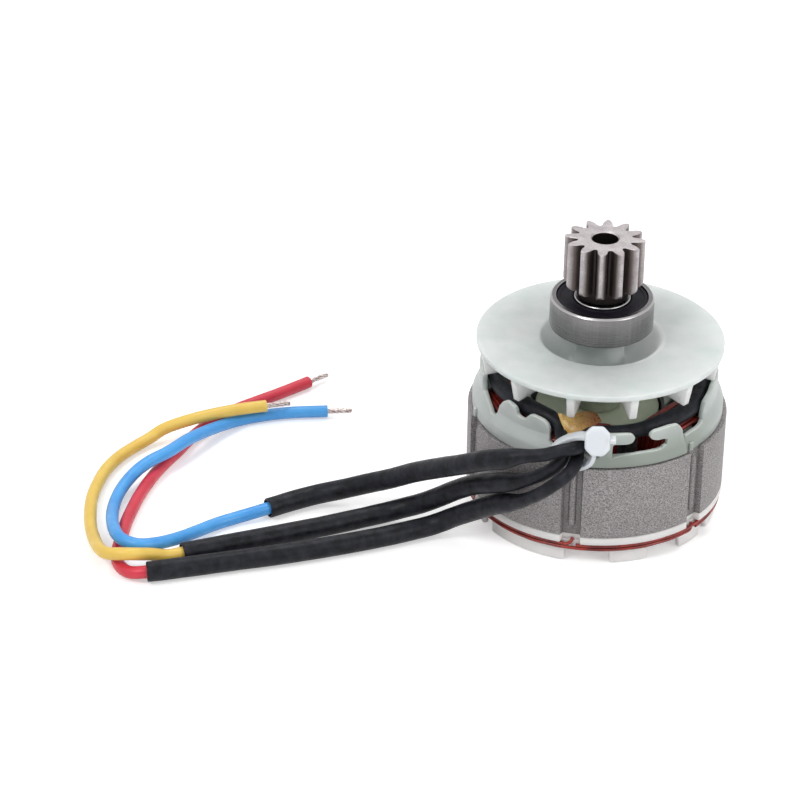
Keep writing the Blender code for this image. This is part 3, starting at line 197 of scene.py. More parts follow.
WIRE_ROUTES = {
    "blue": (
        (-73.8, -13.9, 1.9), (-76.8, -15.1, 1.5), (-80.9, -17.8, 1.5), (-84.8, -21.9, 2.0),
        (-88.6, -26.6, 3.1), (-92.4, -30.6, 4.4), (-96.3, -32.0, 5.0), (-100.0, -29.6, 5.0),
        (-102.3, -22.4, 3.8), (-103.2, -13.4, 2.2), (-102.4, -6.7, 2.4), (-100.0, -1.3, 3.5),
        (-96.9, 2.2, 4.6), (-93.1, 6.2, 4.8), (-88.9, 12.5, 4.6), (-83.9, 20.5, 2.8),
        (-78.7, 26.4, 1.5), (-73.1, 28.8, 1.5), (-67.4, 30.3, 1.5), (-59.5, 31.3, 1.5),
    ),
    "yellow": (
        (-90.0, -32.2, 2.5), (-93.0, -33.8, 3.8), (-97.7, -36.1, 5.2), (-103.0, -33.6, 3.9),
        (-106.4, -24.0, 1.9), (-108.0, -15.4, 1.5), (-108.3, -6.7, 1.5), (-106.9, 2.4, 1.5),
        (-104.4, 8.8, 1.5), (-101.3, 13.5, 1.5), (-98.4, 16.6, 1.9), (-95.2, 18.8, 3.2),
        (-89.6, 20.6, 4.6), (-84.1, 23.3, 4.8), (-78.6, 25.8, 4.7), (-73.2, 27.8, 4.5),
    ),
    "red": (
        (-97.2, -37.7, 1.7), (-99.5, -35.0, 1.5), (-100.4, -32.0, 1.5), (-100.6, -28.5, 1.5),
        (-100.3, -24.2, 1.5), (-100.0, -18.6, 1.5), (-99.4, -13.8, 1.5), (-98.3, -7.2, 1.5),
        (-96.6, -0.5, 1.5), (-94.6, 5.3, 1.5), (-91.9, 11.4, 1.5), (-89.5, 17.3, 1.5),
        (-86.6, 22.9, 1.5), (-83.2, 27.8, 1.5), (-79.8, 31.3, 1.5), (-76.4, 34.2, 1.5),
        (-70.8, 38.8, 1.5), (-64.5, 44.4, 1.5),
    ),
}
TIE_ROUTE = (
    (-2.6, -30.4, 33.0), (-3.8, -29.5, 32.8), (-5.3, -28.5, 32.1), (-7.0, -28.0, 31.2),
    (-8.7, -27.8, 30.0), (-9.8, -27.6, 28.5), (-10.2, -27.1, 26.8), (-8.9, -27.3, 25.4),
    (-6.7, -27.8, 24.8), (-4.6, -28.4, 24.7), (-2.9, -29.1, 25.7), (-1.8, -29.9, 27.4),
    (-1.4, -30.6, 30.0),
)

# The upper cap's crest as corners: azimuth from the front in degrees, height, and the
# radius of the rounding there in degrees of azimuth. Heights of None are the full height.
CREST = (
    (-181.0, None, 0.0), (-75.8, None, 0.9), (-76.4, 0.0312, 0.8), (-75.2, 0.0298, 0.8),
    (-70.4, 0.0289, 1.2), (-64.5, 0.0283, 1.2), (-60.9, 0.0277, 0.8), (-58.2, 0.0279, 0.5),
    (-57.5, 0.0287, 0.5), (-56.4, 0.0304, 0.7), (-54.1, 0.0318, 0.9), (-52.9, 0.0323, 0.7),
    (-51.2, 0.03275, 1.0), (-48.0, 0.03275, 1.2), (-45.2, 0.0324, 0.7), (-44.0, 0.0319, 0.5),
    (-43.5, 0.0310, 0.5), (-42.3, 0.0307, 0.6), (-40.3, 0.0305, 0.8), (-38.5, 0.0308, 0.7),
    (-37.4, 0.0314, 0.6), (-36.3, 0.03195, 0.7), (-34.4, 0.03235, 0.9), (-30.5, 0.0322, 1.2),
    (-27.8, 0.0319, 1.0), (-25.7, 0.0312, 0.7), (-24.8, 0.0303, 0.6), (-24.6, 0.0290, 0.6),
    (-24.0, 0.0278, 0.6), (-22.5, 0.0274, 0.8), (-20.7, 0.0273, 0.8), (-17.0, 0.0265, 1.0),
    (-6.0, 0.0261, 0.5), (39.0, 0.0261, 0.8), (41.5, 0.0267, 0.6), (43.4, 0.0274, 0.6),
    (49.0, 0.0276, 1.2), (52.5, 0.0276, 0.9), (55.6, 0.0278, 0.8), (57.6, 0.0282, 0.6),
    (58.4, 0.0288, 0.5), (59.3, 0.0302, 0.8), (60.6, 0.0315, 0.8), (63.6, 0.0321, 0.8),
    (68.6, 0.0326, 1.0), (72.0, None, 1.2), (181.0, None, 0.0),
)
# The front wall, which is the sill and its two hooks, in the same way
FRONT_WALL = (
    (-6.5, 0.0238, 0.0), (-6.5, 0.0262, 0.4), (-0.7, 0.0262, 0.3), (-0.5, 0.0319, 0.4),
    (11.4, 0.0318, 1.0), (13.7, 0.0316, 0.8), (14.9, 0.0310, 0.6), (14.8, 0.0304, 0.5),
    (14.3, 0.0299, 0.5), (13.2, 0.0295, 0.6), (11.1, 0.0293, 0.8), (6.0, 0.0294, 0.5),
    (5.2, 0.0291, 0.4), (5.0, 0.0262, 0.4), (11.2, 0.0268, 1.0), (18.2, 0.0270, 1.0),
    (25.6, 0.0269, 0.8), (27.6, 0.0270, 0.6), (28.8, 0.0275, 0.5), (30.4, 0.0278, 0.3),
    (30.6, 0.0290, 0.3), (28.7, 0.0293, 0.4), (25.8, 0.0293, 0.7), (24.1, 0.0295, 0.7),
    (22.8, 0.0298, 0.6), (21.8, 0.0304, 0.5), (21.9, 0.0310, 0.5), (22.7, 0.0314, 0.5),
    (23.8, 0.0317, 0.7),
    (31.4, 0.0320, 1.0), (35.7, 0.0318, 0.5), (36.9, 0.0314, 0.4), (38.5, 0.0303, 0.6),
    (39.2, 0.0290, 0.5), (40.6, 0.0265, 0.8), (42.6, 0.0238, 0.0),
)
TAB_SPANS = ((-56.0, -14.0), (6.0, 25.0), (42.0, 58.0))

REAR_TOP = 0.0066
REAR_WIDTH = 0.0060
REAR_RADIUS = 0.0095
REAR_BORE = 0.0030
REAR_INNER_RING = 0.0050
REAR_SEAL = 0.0081
REAR_SHOULDER = 0.0069
REAR_JOURNAL = 0.0028
SHAFT_BOTTOM = 0.0004

# Light: name, place, target, size and power
FLOOR_COLOUR = (0.82, 0.82, 0.82)
FLOOR_GLOW = 0.42
WORLD_LEVEL = 0.55
LAMPS = (
    ("key", (-0.9, -0.9, 1.5), (0.0, 0.0, 0.02), 0.7, 13.0),
    ("fill", (1.2, -0.8, 0.9), (0.0, 0.0, 0.02), 0.8, 7.5),
    ("top", (0.1, 0.7, 1.6), (0.0, 0.0, 0.02), 0.9, 8.0),
)

# The amber film in columns from left to right: azimuth, radius and height in millimetres
FILM = (
    ((-23.0, 23.2, 33.3), (-22.0, 23.6, 33.0), (-20.8, 24.0, 32.6)),
    ((-20.8, 23.6, 33.6), (-19.4, 24.4, 32.4), (-17.9, 25.0, 31.0)),
    ((-18.4, 23.2, 33.1), (-17.0, 24.4, 31.4), (-16.1, 25.2, 29.6)),
    ((-16.7, 22.4, 32.3), (-15.1, 23.8, 31.0), (-13.8, 25.0, 29.3)),
    ((-14.6, 20.6, 32.4), (-12.2, 22.4, 31.4), (-10.2, 24.4, 29.6)),
    ((-11.0, 19.4, 32.5), (-8.9, 21.2, 31.6), (-6.6, 23.4, 30.5)),
    ((-6.2, 18.8, 32.3), (-4.6, 20.0, 31.6), (-3.2, 21.6, 30.8)),
    ((-1.9, 18.6, 31.7), (-0.6, 19.4, 31.2), (0.6, 20.2, 30.9)),
)
FILM_FLAP = (
    ((-16.0, 25.6, 30.2), (-16.0, 25.7, 29.6), (-15.9, 25.7, 29.0)),
    ((-14.2, 25.2, 31.2), (-14.2, 25.6, 29.9), (-14.3, 25.7, 28.9)),
    ((-12.0, 25.2, 30.4), (-11.9, 25.5, 29.6), (-11.8, 25.6, 28.9)),
    ((-9.4, 25.2, 29.8), (-9.2, 25.4, 29.5), (-9.0, 25.5, 29.2)),
)
FILM_THICKNESS = 0.00012

# Smaller sizes of the pieces that only this file makes
FAN_EDGE = 0.00028
BLADE_EDGE = 0.00022
WALL_EDGE = 0.00022
FLANGE_EDGE = 0.00018
STACK_EDGE = 0.00010
RING_CHAMFER = 0.0004
RING_EDGE = 0.00012
SLEEVE_WALL = 0.00042
SLEEVE_MOUTH = 0.0050
BEND_STEP = 2.5
SLEEVE_SIDES = 20
SLEEVE_STEP = 0.0006
SLEEVE_RIPPLE = 0.00006
CORE_STEP = 0.0012
TIP_STRANDS = 7
TIP_STRAND = 0.00021
TIP_RING = 0.00039
TIP_COVERED = 0.0008
BEAD_END_GAP = 0.0013
BEAD_STEPS = 90
FORMER_EXTRA = 0.0008
BORE_EXTRA = 0.0005
PEG = (0.0011, 0.0019, 0.00016)
TAB_SLANT = 0.6
INNER_CHAMFER = 0.0002
SEAL_THICKNESS = 0.0006
SEAL_GAP = 0.0002
GEAR_EASE = 0.00012
GEAR_ROUND = 0.0012
STRAND_LAYERS = 4
STRAND_PITCH = 0.00092

dice = random.Random(SEED)
noise.seed_set(SEED)


def linear(red, green, blue):
    """A colour given as screen values from 0 to 255, as linear RGB."""
    found = []
    for value in (red, green, blue):
        share = value / 255
        found.append(share / 12.92 if share <= 0.04045 else ((share + 0.055) / 1.055) ** 2.4)
    return tuple(found)


class Look:
    """A material made of nodes round one Principled shader. Its colour is in screen values."""

    def __init__(self, name, colour, roughness, metallic=0.0, **sockets):
        self.material = bpy.data.materials.new(name)
        self.material.use_nodes = True
        self.nodes = self.material.node_tree.nodes
        self.links = self.material.node_tree.links
        self.shader = self.nodes["Principled BSDF"]
        colour = (*linear(*colour), 1.0)
        self.material.diffuse_color = colour
        sockets |= {"Base Color": colour, "Roughness": roughness, "Metallic": metallic}
        for socket, value in sockets.items():
            self.shader.inputs[socket.replace("_", " ")].default_value = value
        self.place = self.nodes.new("ShaderNodeTexCoord").outputs["Object"]

    def node(self, kind, inputs, operation=None):
        """Adds a node, each input of which gets a value or a link from another node."""
        node = self.nodes.new("ShaderNode" + kind)
        if operation:
            node.operation = operation
        for socket, value in inputs.items():
            if isinstance(value, bpy.types.NodeSocket):
                self.links.new(value, node.inputs[socket])
            else:
                node.inputs[socket].default_value = value
        return node.outputs

    def stretched(self, x, y, z):
        """The object's coordinates, scaled along each axis."""
        return self.node("Mapping", {"Vector": self.place, "Scale": (x, y, z)})["Vector"]

    def noise(self, scale, detail=2.0, roughness=0.5, place=None):
        return self.node("TexNoise", {
            "Vector": place or self.place, "Scale": scale, "Detail": detail, "Roughness": roughness,
        })["Fac"]

    def cells(self, scale):
        return self.node("TexVoronoi", {"Vector": self.place, "Scale": scale})["Distance"]

    def rings(self):
        """The distance from the motor's axis, for turned and ground faces."""
        return self.node("VectorMath", {0: self.stretched(1.0, 1.0, 0.0)}, "LENGTH")["Value"]

    def upright(self):
        """The upward part of the surface's direction: 1 on top faces, 0 on upright ones."""
        normal = self.node("NewGeometry", {})["Normal"]
        return self.node("SeparateXYZ", {"Vector": normal})["Z"]

    def towards(self, x, y, z):
        """How far a point of the object lies in a direction."""
        return self.node("VectorMath", {0: self.place, 1: (x, y, z)}, "DOT_PRODUCT")["Value"]

    def times(self, first, second):
        return self.node("Math", {0: first, 1: second}, "MULTIPLY")["Value"]

    def mapped(self, value, low, high, to_low=0.0, to_high=1.0):
        return self.node("MapRange", {
            "Value": value, "From Min": low, "From Max": high, "To Min": to_low, "To Max": to_high,
        })["Result"]

    def paint(self, factor, first, second):
        """Paints a blend of two colours, each linear or another node's output."""
        node = self.nodes.new("ShaderNodeMix")
        node.data_type = "RGBA"
        self.links.new(factor, node.inputs["Factor"])
        for socket, colour in ((node.inputs[6], first), (node.inputs[7], second)):
            if isinstance(colour, tuple):
                socket.default_value = (*colour, 1.0)
            else:
                self.links.new(colour, socket)
        self.links.new(node.outputs[2], self.shader.inputs["Base Color"])

    def lay(self, factor, colour):
        """Lays a linear colour over the paint that the shader has now."""
        self.paint(factor, self.shader.inputs["Base Color"].links[0].from_socket, colour)

    def gloss(self, value, low, high):
        """Roughness from low to high as the value goes from 0.3 to 0.7."""
        self.links.new(self.mapped(value, 0.3, 0.7, low, high), self.shader.inputs["Roughness"])

    def bump(self, value, distance):
        inputs = {"Height": value, "Distance": distance, "Strength": 1.0}
        before = self.shader.inputs["Normal"].links
        if before:
            inputs["Normal"] = before[0].from_socket
        self.links.new(self.node("Bump", inputs)["Normal"], self.shader.inputs["Normal"])

    def skin(self, clouds=None, gloss=None, bumps=()):
        """Adds clouds of two screen colours, uneven gloss and bumps.

        Clouds are scale, low, high and the colours. Gloss and each bump start with their
        noise's scale, detail and roughness, the last of which may be left out.
        """
        if clouds:
            scale, low, high, first, second = clouds
            cloud = self.mapped(self.noise(scale, 3.0), low, high)
            self.paint(cloud, linear(*first), linear(*second))
        if gloss:
            *sound, low, high = gloss
            self.gloss(self.noise(*sound), low, high)
        for *sound, distance in bumps:
            self.bump(self.noise(*sound), distance)
        return self


def moulded(name, pale, deep, roughness, scatter, weight):
    """Milky moulded plastic, with slow clouding and a fine matt skin."""
    look = Look(
        name, pale, roughness, Subsurface_Weight=weight, Subsurface_Scale=1.0,
        Subsurface_Radius=scatter, Specular_IOR_Level=0.42,
    )
    return look.skin(
        (140.0, 0.3, 0.7, pale, deep), (900.0, 2.0, roughness - 0.06, roughness + 0.08),
        ((2600.0, 3.0, 0.00003), (260.0, 2.0, 0.00012)),
    )


def fan_look():
    """The fan's nylon, with painted light on the blades below the disc and on the right side of the
    funnel.
    """
    look = moulded(
        "fan_nylon", (210, 218, 216), (190, 203, 199), 0.40, (0.0085, 0.0092, 0.0088), 0.9,
    )
    # Painted light: the blades below the disc, outside the funnel, are made paler.
    outside = look.mapped(look.rings(), FUNNEL_RADIUS + 0.0020, FUNNEL_RADIUS + 0.0030)
    blades = look.mapped(look.towards(0.0, 0.0, 1.0), FAN_UNDER - 0.0012, FAN_UNDER, 1.0, 0.0)
    look.lay(look.times(blades, outside), linear(246, 255, 248))
    # Painted light: the funnel's right side is made paler.
    right = look.mapped(look.towards(0.97, -0.26, 0.0), 0.0020, 0.0110)
    funnel = look.mapped(look.rings(), FUNNEL_RADIUS - 0.0006, FUNNEL_RADIUS + 0.0010, 1.0, 0.0)
    look.lay(look.times(right, funnel), linear(246, 255, 252))
    return look


def cap_look():
    """The upper cap's nylon, with painted shade low on its skirt, most at the front, and painted light
    on its upward faces.
    """
    look = moulded(
        "cap_nylon", (191, 197, 195), (178, 185, 182), 0.42, (0.0030, 0.0032, 0.0030), 0.4,
    )
    # Painted shade: greyer low on the skirt, strongest at the front and fading up the wall.
    front = look.mapped(look.towards(0.34, -0.94, 0.0), 0.0190, 0.0235, 0.15)
    low = look.mapped(look.towards(0.0, 0.0, 1.0), 0.0262, 0.0330, 0.9, 0.0)
    look.lay(look.times(front, low), linear(142, 151, 142))
    # Painted light: faces that look upward are made paler.
    look.lay(look.mapped(look.upright(), 0.7, 0.95, 0.0, 0.7), linear(228, 234, 228))
    return look


def lamination_look():
    """Bead-blasted sheet steel edges: grey, finely speckled, with painted shade in the weld grooves.
    """
    look = Look("blasted_laminations", (134, 128, 128), 0.55, 0.55, Specular_IOR_Level=0.5)
    speckle = look.noise(5400.0, 3.0, 0.75, look.stretched(0.6, 0.6, 1.0))
    look.paint(look.mapped(speckle, 0.38, 0.62), linear(84, 80, 81), linear(180, 176, 176))
    look.lay(look.mapped(look.noise(240.0, 3.0), 0.3, 0.7, 0.22, 0.04), linear(132, 128, 128))
    # Painted shade: darker towards the floor of each weld groove.
    floor, mouth = STACK_RADIUS - GROOVE_DEPTH, STACK_RADIUS - 0.0004
    look.lay(look.mapped(look.rings(), floor, mouth, 0.35, 0.0), linear(82, 78, 80))
    look.gloss(speckle, 0.45, 0.68)
    look.bump(speckle, 0.00007)
    look.bump(look.noise(900.0, 2.0, place=look.stretched(0.15, 0.15, 3.0)), 0.00003)
    return look


def ground_steel(name, colour, roughness, ring_scale):
    """Turned or ground steel, with fine marks that run round the axis, painted reflection streaks down
    its sides and painted highlights on its chamfers.
    """
    look = Look(name, colour, roughness, 1.0)
    height = look.towards(0.0, 0.0, 1.0)
    section = look.node("CombineXYZ", {"X": look.rings(), "Y": height})["Vector"]
    marks = look.noise(ring_scale, 4.0, 0.6, section)
    # Painted reflection: soft dark streaks that run down the sides.
    painted_reflection_streaks = look.noise(1500.0, 2.0, place=look.stretched(1.0, 1.0, 0.03))
    plain = linear(*colour)
    shade = tuple(value * 0.72 for value in plain)
    look.paint(look.mapped(look.noise(200.0, 2.0), 0.35, 0.65, 0.0, 0.5), plain, shade)
    look.lay(look.mapped(painted_reflection_streaks, 0.35, 0.65, 0.0, 0.6), shade)
    # Painted highlight: faces sloped like the chamfers are made brighter.
    chamfer = look.node("Math", {0: look.upright(), 1: 0.68, 2: 0.22}, "COMPARE")["Value"]
    look.lay(chamfer, tuple(min(1.0, value * 1.9) for value in plain))
    look.gloss(marks, roughness - 0.07, roughness + 0.10)
    look.bump(marks, 0.000012)
    return look


def sintered_look():
    """Pressed and sintered steel: matt, finely porous, with painted shade on the flanks and deeper
    painted shade at the roots.
    """
    look = Look("sintered_steel", (158, 152, 152), 0.42, 0.9)
    grain = look.noise(3200.0, 3.0, 0.65)
    look.skin((300.0, 0.35, 0.65, (172, 165, 167), (200, 194, 195)))
    look.lay(look.mapped(grain, 0.34, 0.66, 0.0, 0.5), linear(136, 130, 131))
    # Painted shade between the teeth: side faces darken below the tips and most at the roots.
    pitch = PINION_MODULE * PINION_TEETH / 2
    flank = look.mapped(look.rings(), pitch + 0.0004, pitch + 0.00125, 0.92, 0.0)
    root = look.mapped(look.rings(), pitch - 0.0012, pitch - 0.0001, 0.9, 0.0)
    side = look.mapped(look.upright(), 0.15, 0.6, 1.0, 0.0)
    look.lay(look.times(flank, side), linear(98, 88, 85))
    look.lay(look.times(root, side), linear(40, 34, 34))
    look.gloss(grain, 0.34, 0.54)
    look.bump(look.cells(5200.0), 0.00003)
    look.bump(grain, 0.00004)
    return look


def wire_look(name, pale, deep):
    """Silicone-like wire insulation: even colour, soft sheen, small handling marks."""
    look = Look(
        name, pale, 0.38, Subsurface_Weight=0.12, Subsurface_Scale=1.0,
        Subsurface_Radius=(0.0012, 0.0008, 0.0008),
    )
    return look.skin(
        (180.0, 0.3, 0.7, pale, deep), (900.0, 3.0, 0.30, 0.48), ((420.0, 2.0, 0.00010),),
    )


def tape_look():
    """Amber film: clear brown-yellow, smooth, browner on the right and pale on its flap."""
    look = Look(
        "amber_film", (222, 168, 84), 0.28, Transmission_Weight=0.2, Subsurface_Weight=0.15,
        Subsurface_Scale=1.0, Subsurface_Radius=(0.002, 0.0012, 0.0006), Specular_IOR_Level=0.5,
    )
    look.skin(
        (420.0, 0.3, 0.7, (236, 196, 118), (206, 152, 76)), (1400.0, 2.0, 0.2, 0.42),
        ((500.0, 2.0, 0.00006),),
    )
    right = look.mapped(look.towards(1.0, 0.2, 0.0), -0.0115, -0.0055, 0.0, 0.9)
    look.lay(right, linear(146, 84, 46))
    flap = look.mapped(look.towards(0.0, -1.0, 0.0), 0.0240, 0.0245, 0.0, 0.8)
    look.lay(flap, linear(240, 192, 104))
    return look


LOOKS = {
    "fan": fan_look(),
    "nylon": cap_look(),
    "tab": moulded(
        "tab_nylon", (252, 247, 245), (243, 237, 235), 0.42, (0.0040, 0.0036, 0.0036), 0.6,
    ),
    "tie": moulded(
        "tie_nylon", (222, 226, 231), (212, 217, 223), 0.36, (0.0020, 0.0020, 0.0022), 0.4,
    ),
    "lamination": lamination_look(),
    # Red-brown copper under a clear glossy coat
    "copper": Look(
        "enamelled_copper", (126, 38, 31), 0.36, 0.25,
        Coat_Weight=0.35, Coat_Roughness=0.10, Specular_IOR_Level=0.3,
    ).skin(
        (320.0, 0.35, 0.65, (104, 30, 26), (150, 50, 40)), (1500.0, 2.0, 0.26, 0.44),
        ((1800.0, 2.0, 0.00002),),
    ),
    "ring": ground_steel("bearing_steel", (130, 128, 129), 0.26, 5200.0),
    "steel": ground_steel("shaft_steel", (150, 146, 144), 0.32, 3600.0),
    # Dull zinc
    "tube": Look("zinc_skin", (176, 182, 166), 0.58, 0.25).skin(
        (420.0, 0.3, 0.7, (184, 190, 172), (160, 166, 150)), (1600.0, 3.0, 0.5, 0.66),
        ((2000.0, 3.0, 0.00003),),
    ),
    # Grey-green moulded resin with a dull skin
    "plate": Look("plate_resin", (232, 238, 212), 0.50, Specular_IOR_Level=0.4).skin(
        (260.0, 0.3, 0.7, (224, 232, 204), (238, 243, 220)), (1200.0, 3.0, 0.42, 0.58),
        ((1600.0, 3.0, 0.00004),),
    ),
    "sintered": sintered_look(),
    "rubber": Look("seal_rubber", (24, 21, 29), 0.50, Specular_IOR_Level=0.10).skin(
        (500.0, 0.3, 0.7, (20, 18, 25), (34, 30, 40)), None, ((2200.0, 2.0, 0.00003),),
    ),
    # Black heat-shrink tube: satin, with a faint bloom and shallow wrinkles
    "sleeve": Look("shrink_sleeve", (24, 24, 27), 0.44, Specular_IOR_Level=0.16).skin(
        (420.0, 0.35, 0.7, (18, 19, 23), (40, 41, 48)), (700.0, 3.0, 0.34, 0.52),
        ((300.0, 3.0, 0.6, 0.00022), (3000.0, 2.0, 0.00002)),
    ),
    "blue": wire_look("blue_wire", (80, 166, 232), (66, 150, 222)),
    "yellow": wire_look("yellow_wire", (232, 198, 96), (222, 184, 80)),
    "red": wire_look("red_wire", (214, 54, 74), (198, 42, 62)),
    "tin": Look("tinned_strands", (196, 186, 184), 0.32, 1.0).skin(
        (1500.0, 0.35, 0.65, (214, 208, 206), (168, 148, 144)), (4000.0, 2.0, 0.22, 0.45),
        ((4000.0, 2.0, 0.00003),),
    ),
    "tape": tape_look(),
    "magnet": Look("nickel_plate", (180, 180, 184), 0.28, 1.0).skin(
        None, (900.0, 3.0, 0.2, 0.4), ((1600.0, 2.0, 0.00002),),
    ),
}


def azimuth_point(radius, azimuth, height=0.0):
    """A point at an azimuth in degrees, from the front (-Y) towards +X."""
    angle = math.radians(azimuth)
    return Vector((radius * math.sin(angle), -radius * math.cos(angle), height))


def tooth_azimuths():
    return [TOOTH_AZIMUTH + tooth * 360.0 / TEETH for tooth in range(TEETH)]


def slot_angle(radius, width):
    return math.degrees(math.asin(width / 2 / radius))


def rounded(corners, steps=4, closed=True):
    """A polyline of (x, y, radius) corners, each turned into a small curve."""
    count = len(corners)
    found = []
    for k, (x, y, radius) in enumerate(corners):
        here = Vector((x, y))
        if radius <= 0.0 or (not closed and k in (0, count - 1)):
            found.append((x, y))
            continue
        before = Vector(corners[k - 1][:2]) - here
        after = Vector(corners[(k + 1) % count][:2]) - here
        start = here + before * min(0.48, radius / max(before.length, 1e-9))
        end = here + after * min(0.48, radius / max(after.length, 1e-9))
        for i in range(steps + 1):
            t = i / steps
            spot = start * (1 - t) ** 2 + here * (2 * t * (1 - t)) + end * t * t
            found.append((spot.x, spot.y))
    return found


def placed(name, data):
    """Adds an object to the scene."""
    thing = bpy.data.objects.new(name, data)
    bpy.context.scene.collection.objects.link(thing)
    return thing


def as_mesh(name, work):
    mesh = bpy.data.meshes.new(name)
    work.to_mesh(mesh)
    work.free()
    return mesh


def piece(name, work, look, body, replaced, slot_name, angle=35.0):
    """Makes a visible piece of a bmesh, rides it on its body and hides the frame's nodes that it
    replaces.
    """
    bmesh.ops.recalc_face_normals(work, faces=work.faces)
    mesh = as_mesh(name, work)
    mesh.shade_smooth()
    mesh.set_sharp_from_angle(angle=math.radians(angle))
    mesh.materials.append(LOOKS[look].material)
    thing = placed(name, mesh)
    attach(thing, body)
    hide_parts(*replaced)
    return thing


def bridge(work, rings, closed=False, caps=True):
    """Joins rings of points with faces, each to the next, and closes or caps the ends."""
    pairs = list(zip(rings, rings[1:]))
    if closed:
        pairs.append((rings[-1], rings[0]))
    for first, second in pairs:
        for quad in zip(first, first[1:] + first[:1], second[1:] + second[:1], second):
            work.faces.new(quad)
    if caps and not closed:
        work.faces.new(rings[0][::-1])
        work.faces.new(rings[-1])


def circle(radius, sides):
    return [
        (radius * math.cos(math.tau * i / sides), radius * math.sin(math.tau * i / sides))
        for i in range(sides)
    ]


def section(work, at, across, up, outline):
    """Adds the points of a flat outline of (across, up) pairs."""
    return [work.verts.new(at + across * a + up * b) for a, b in outline]


def turn(work, profile, segments=128):
    """Adds a turned body. A profile that doesn't start and end on the axis is closed."""
    azimuths = [360.0 * k / segments for k in range(segments)]
    rings = [
        [work.verts.new(azimuth_point(radius, azimuth, height)) for azimuth in azimuths]
        for radius, height in profile
    ]
    bridge(work, rings, profile[0][0] > 0.0 or profile[-1][0] > 0.0, caps=False)
    bmesh.ops.remove_doubles(work, verts=work.verts, dist=1e-8)


def frames(points, closed):
    """Sideways directions along a path, carried from point to point without twist."""
    count = len(points)
    found = []
    across = None
    for k, at in enumerate(points):
        if closed:
            ahead = points[(k + 1) % count] - points[k - 1]
        else:
            ahead = points[min(k + 1, count - 1)] - points[max(k - 1, 0)]
        ahead.normalize()
        if across is None:
            across = ahead.orthogonal().normalized()
        across = (across - ahead * across.dot(ahead)).normalized()
        found.append((across, ahead.cross(across).normalized(), ahead))
    return found


def sweep(work, points, radii, sides=12, closed=False):
    """Adds a round tube along the points, of one radius or one for each point."""
    rings = [
        section(work, at, across, up, circle(radii[k] if isinstance(radii, list) else radii, sides))
        for k, (at, (across, up, ahead)) in enumerate(zip(points, frames(points, closed)))
    ]
    bridge(work, rings, closed)


def evaluated(thing):
    """A bmesh of the shape that an object's curve or modifier gives."""
    bpy.context.view_layer.update()
    mesh = bpy.data.meshes.new_from_object(
        thing.evaluated_get(bpy.context.evaluated_depsgraph_get())
    )
    work = bmesh.new()
    work.from_mesh(mesh)
    bpy.data.meshes.remove(mesh)
    return work


def flat_solid(loops, thickness, edge):
    """A flat outline with holes as a solid with rounded edges, centred on its plane."""
    curve = bpy.data.curves.new("outline", "CURVE")
    curve.dimensions = "2D"
    curve.fill_mode = "BOTH"
    curve.extrude = thickness / 2 - edge
    curve.bevel_depth = edge
    curve.bevel_resolution = 1
    curve.offset = -edge
    for loop in loops:
        spline = curve.splines.new("POLY")
        spline.points.add(len(loop) - 1)
        for point, (x, y) in zip(spline.points, loop):
            point.co = (x, y, 0.0, 1.0)
        spline.use_cyclic_u = True
    thing = placed("outline", curve)
    work = evaluated(thing)
    bpy.data.objects.remove(thing, do_unlink=True)
    bmesh.ops.remove_doubles(work, verts=work.verts, dist=1e-7)
    return work


def joined(whole, *others):
    """Adds the other bmeshes to the first, and returns it."""
    for other in others:
        mesh = as_mesh("joined", other)
        whole.from_mesh(mesh)
        bpy.data.meshes.remove(mesh)
    return whole


def united(*works):
    """One closed bmesh of two that cross."""
    things = []
    for work in works:
        bmesh.ops.recalc_face_normals(work, faces=work.faces)
        things.append(placed("united", as_mesh("united", work)))
    union = things[0].modifiers.new("union", "BOOLEAN")
    union.operation = "UNION"
    union.solver = "EXACT"
    union.object = things[1]
    whole = evaluated(things[0])
    for thing in things:
        data = thing.data
        bpy.data.objects.remove(thing, do_unlink=True)
        bpy.data.meshes.remove(data)
    return whole


def plate(loops, low, high, edge):
    """A flat outline with holes as a solid between two heights."""
    work = flat_solid(loops, high - low, edge)
    bmesh.ops.translate(work, verts=work.verts, vec=(0.0, 0.0, (low + high) / 2))
    return work


def bent_wall(corners, radius_at, thickness, levels, edge):
    """A moulded wall made flat from its unrolled outline, then bent round the axis.

    Corners are azimuth in degrees, height and rounding in metres.
    """
    reach = math.radians(WALL_RADIUS)
    outline = rounded([(azimuth * reach, height, radius) for azimuth, height, radius in corners])
    work = flat_solid([outline], thickness, edge)
    cuts = [
        ((-180.0 + BEND_STEP * k) * reach, 0.0, 1.0, 0.0, False)
        for k in range(1, round(360.0 / BEND_STEP))
    ]
    cuts += [(0.0, height, 0.0, 1.0, False) for height in levels]
    cuts += [(side * 180.0 * reach, 0.0, side, 0.0, True) for side in (-1.0, 1.0)]
    for x, y, across, up, outside in cuts:
        bmesh.ops.bisect_plane(
            work, geom=[*work.verts, *work.edges, *work.faces], dist=1e-8,
            plane_co=(x, y, 0.0), plane_no=(across, up, 0.0), clear_outer=outside,
        )
    for vert in work.verts:
        along, height, depth = vert.co
        vert.co = azimuth_point(radius_at(height) - thickness / 2 + depth, along / reach, height)
    bmesh.ops.remove_doubles(work, verts=work.verts, dist=2e-7)
    return work


def flat_point(radius, azimuth):
    return tuple(azimuth_point(radius, azimuth)[:2])


def arc(radius, start, end, steps):
    return [flat_point(radius, start + (end - start) * k / steps) for k in range(steps + 1)]


def stack_outline(depth):
    """The stack's outside, with a weld groove behind every tooth."""
    half = slot_angle(STACK_RADIUS, GROOVE_WIDTH)
    floor = slot_angle(STACK_RADIUS - depth, GROOVE_WIDTH * 0.82)
    loop = []
    for middle in tooth_azimuths():
        loop += arc(STACK_RADIUS - depth, middle - floor, middle + floor, 4)
        loop += arc(STACK_RADIUS, middle + half, middle + 360.0 / TEETH - half, 28)
    return loop


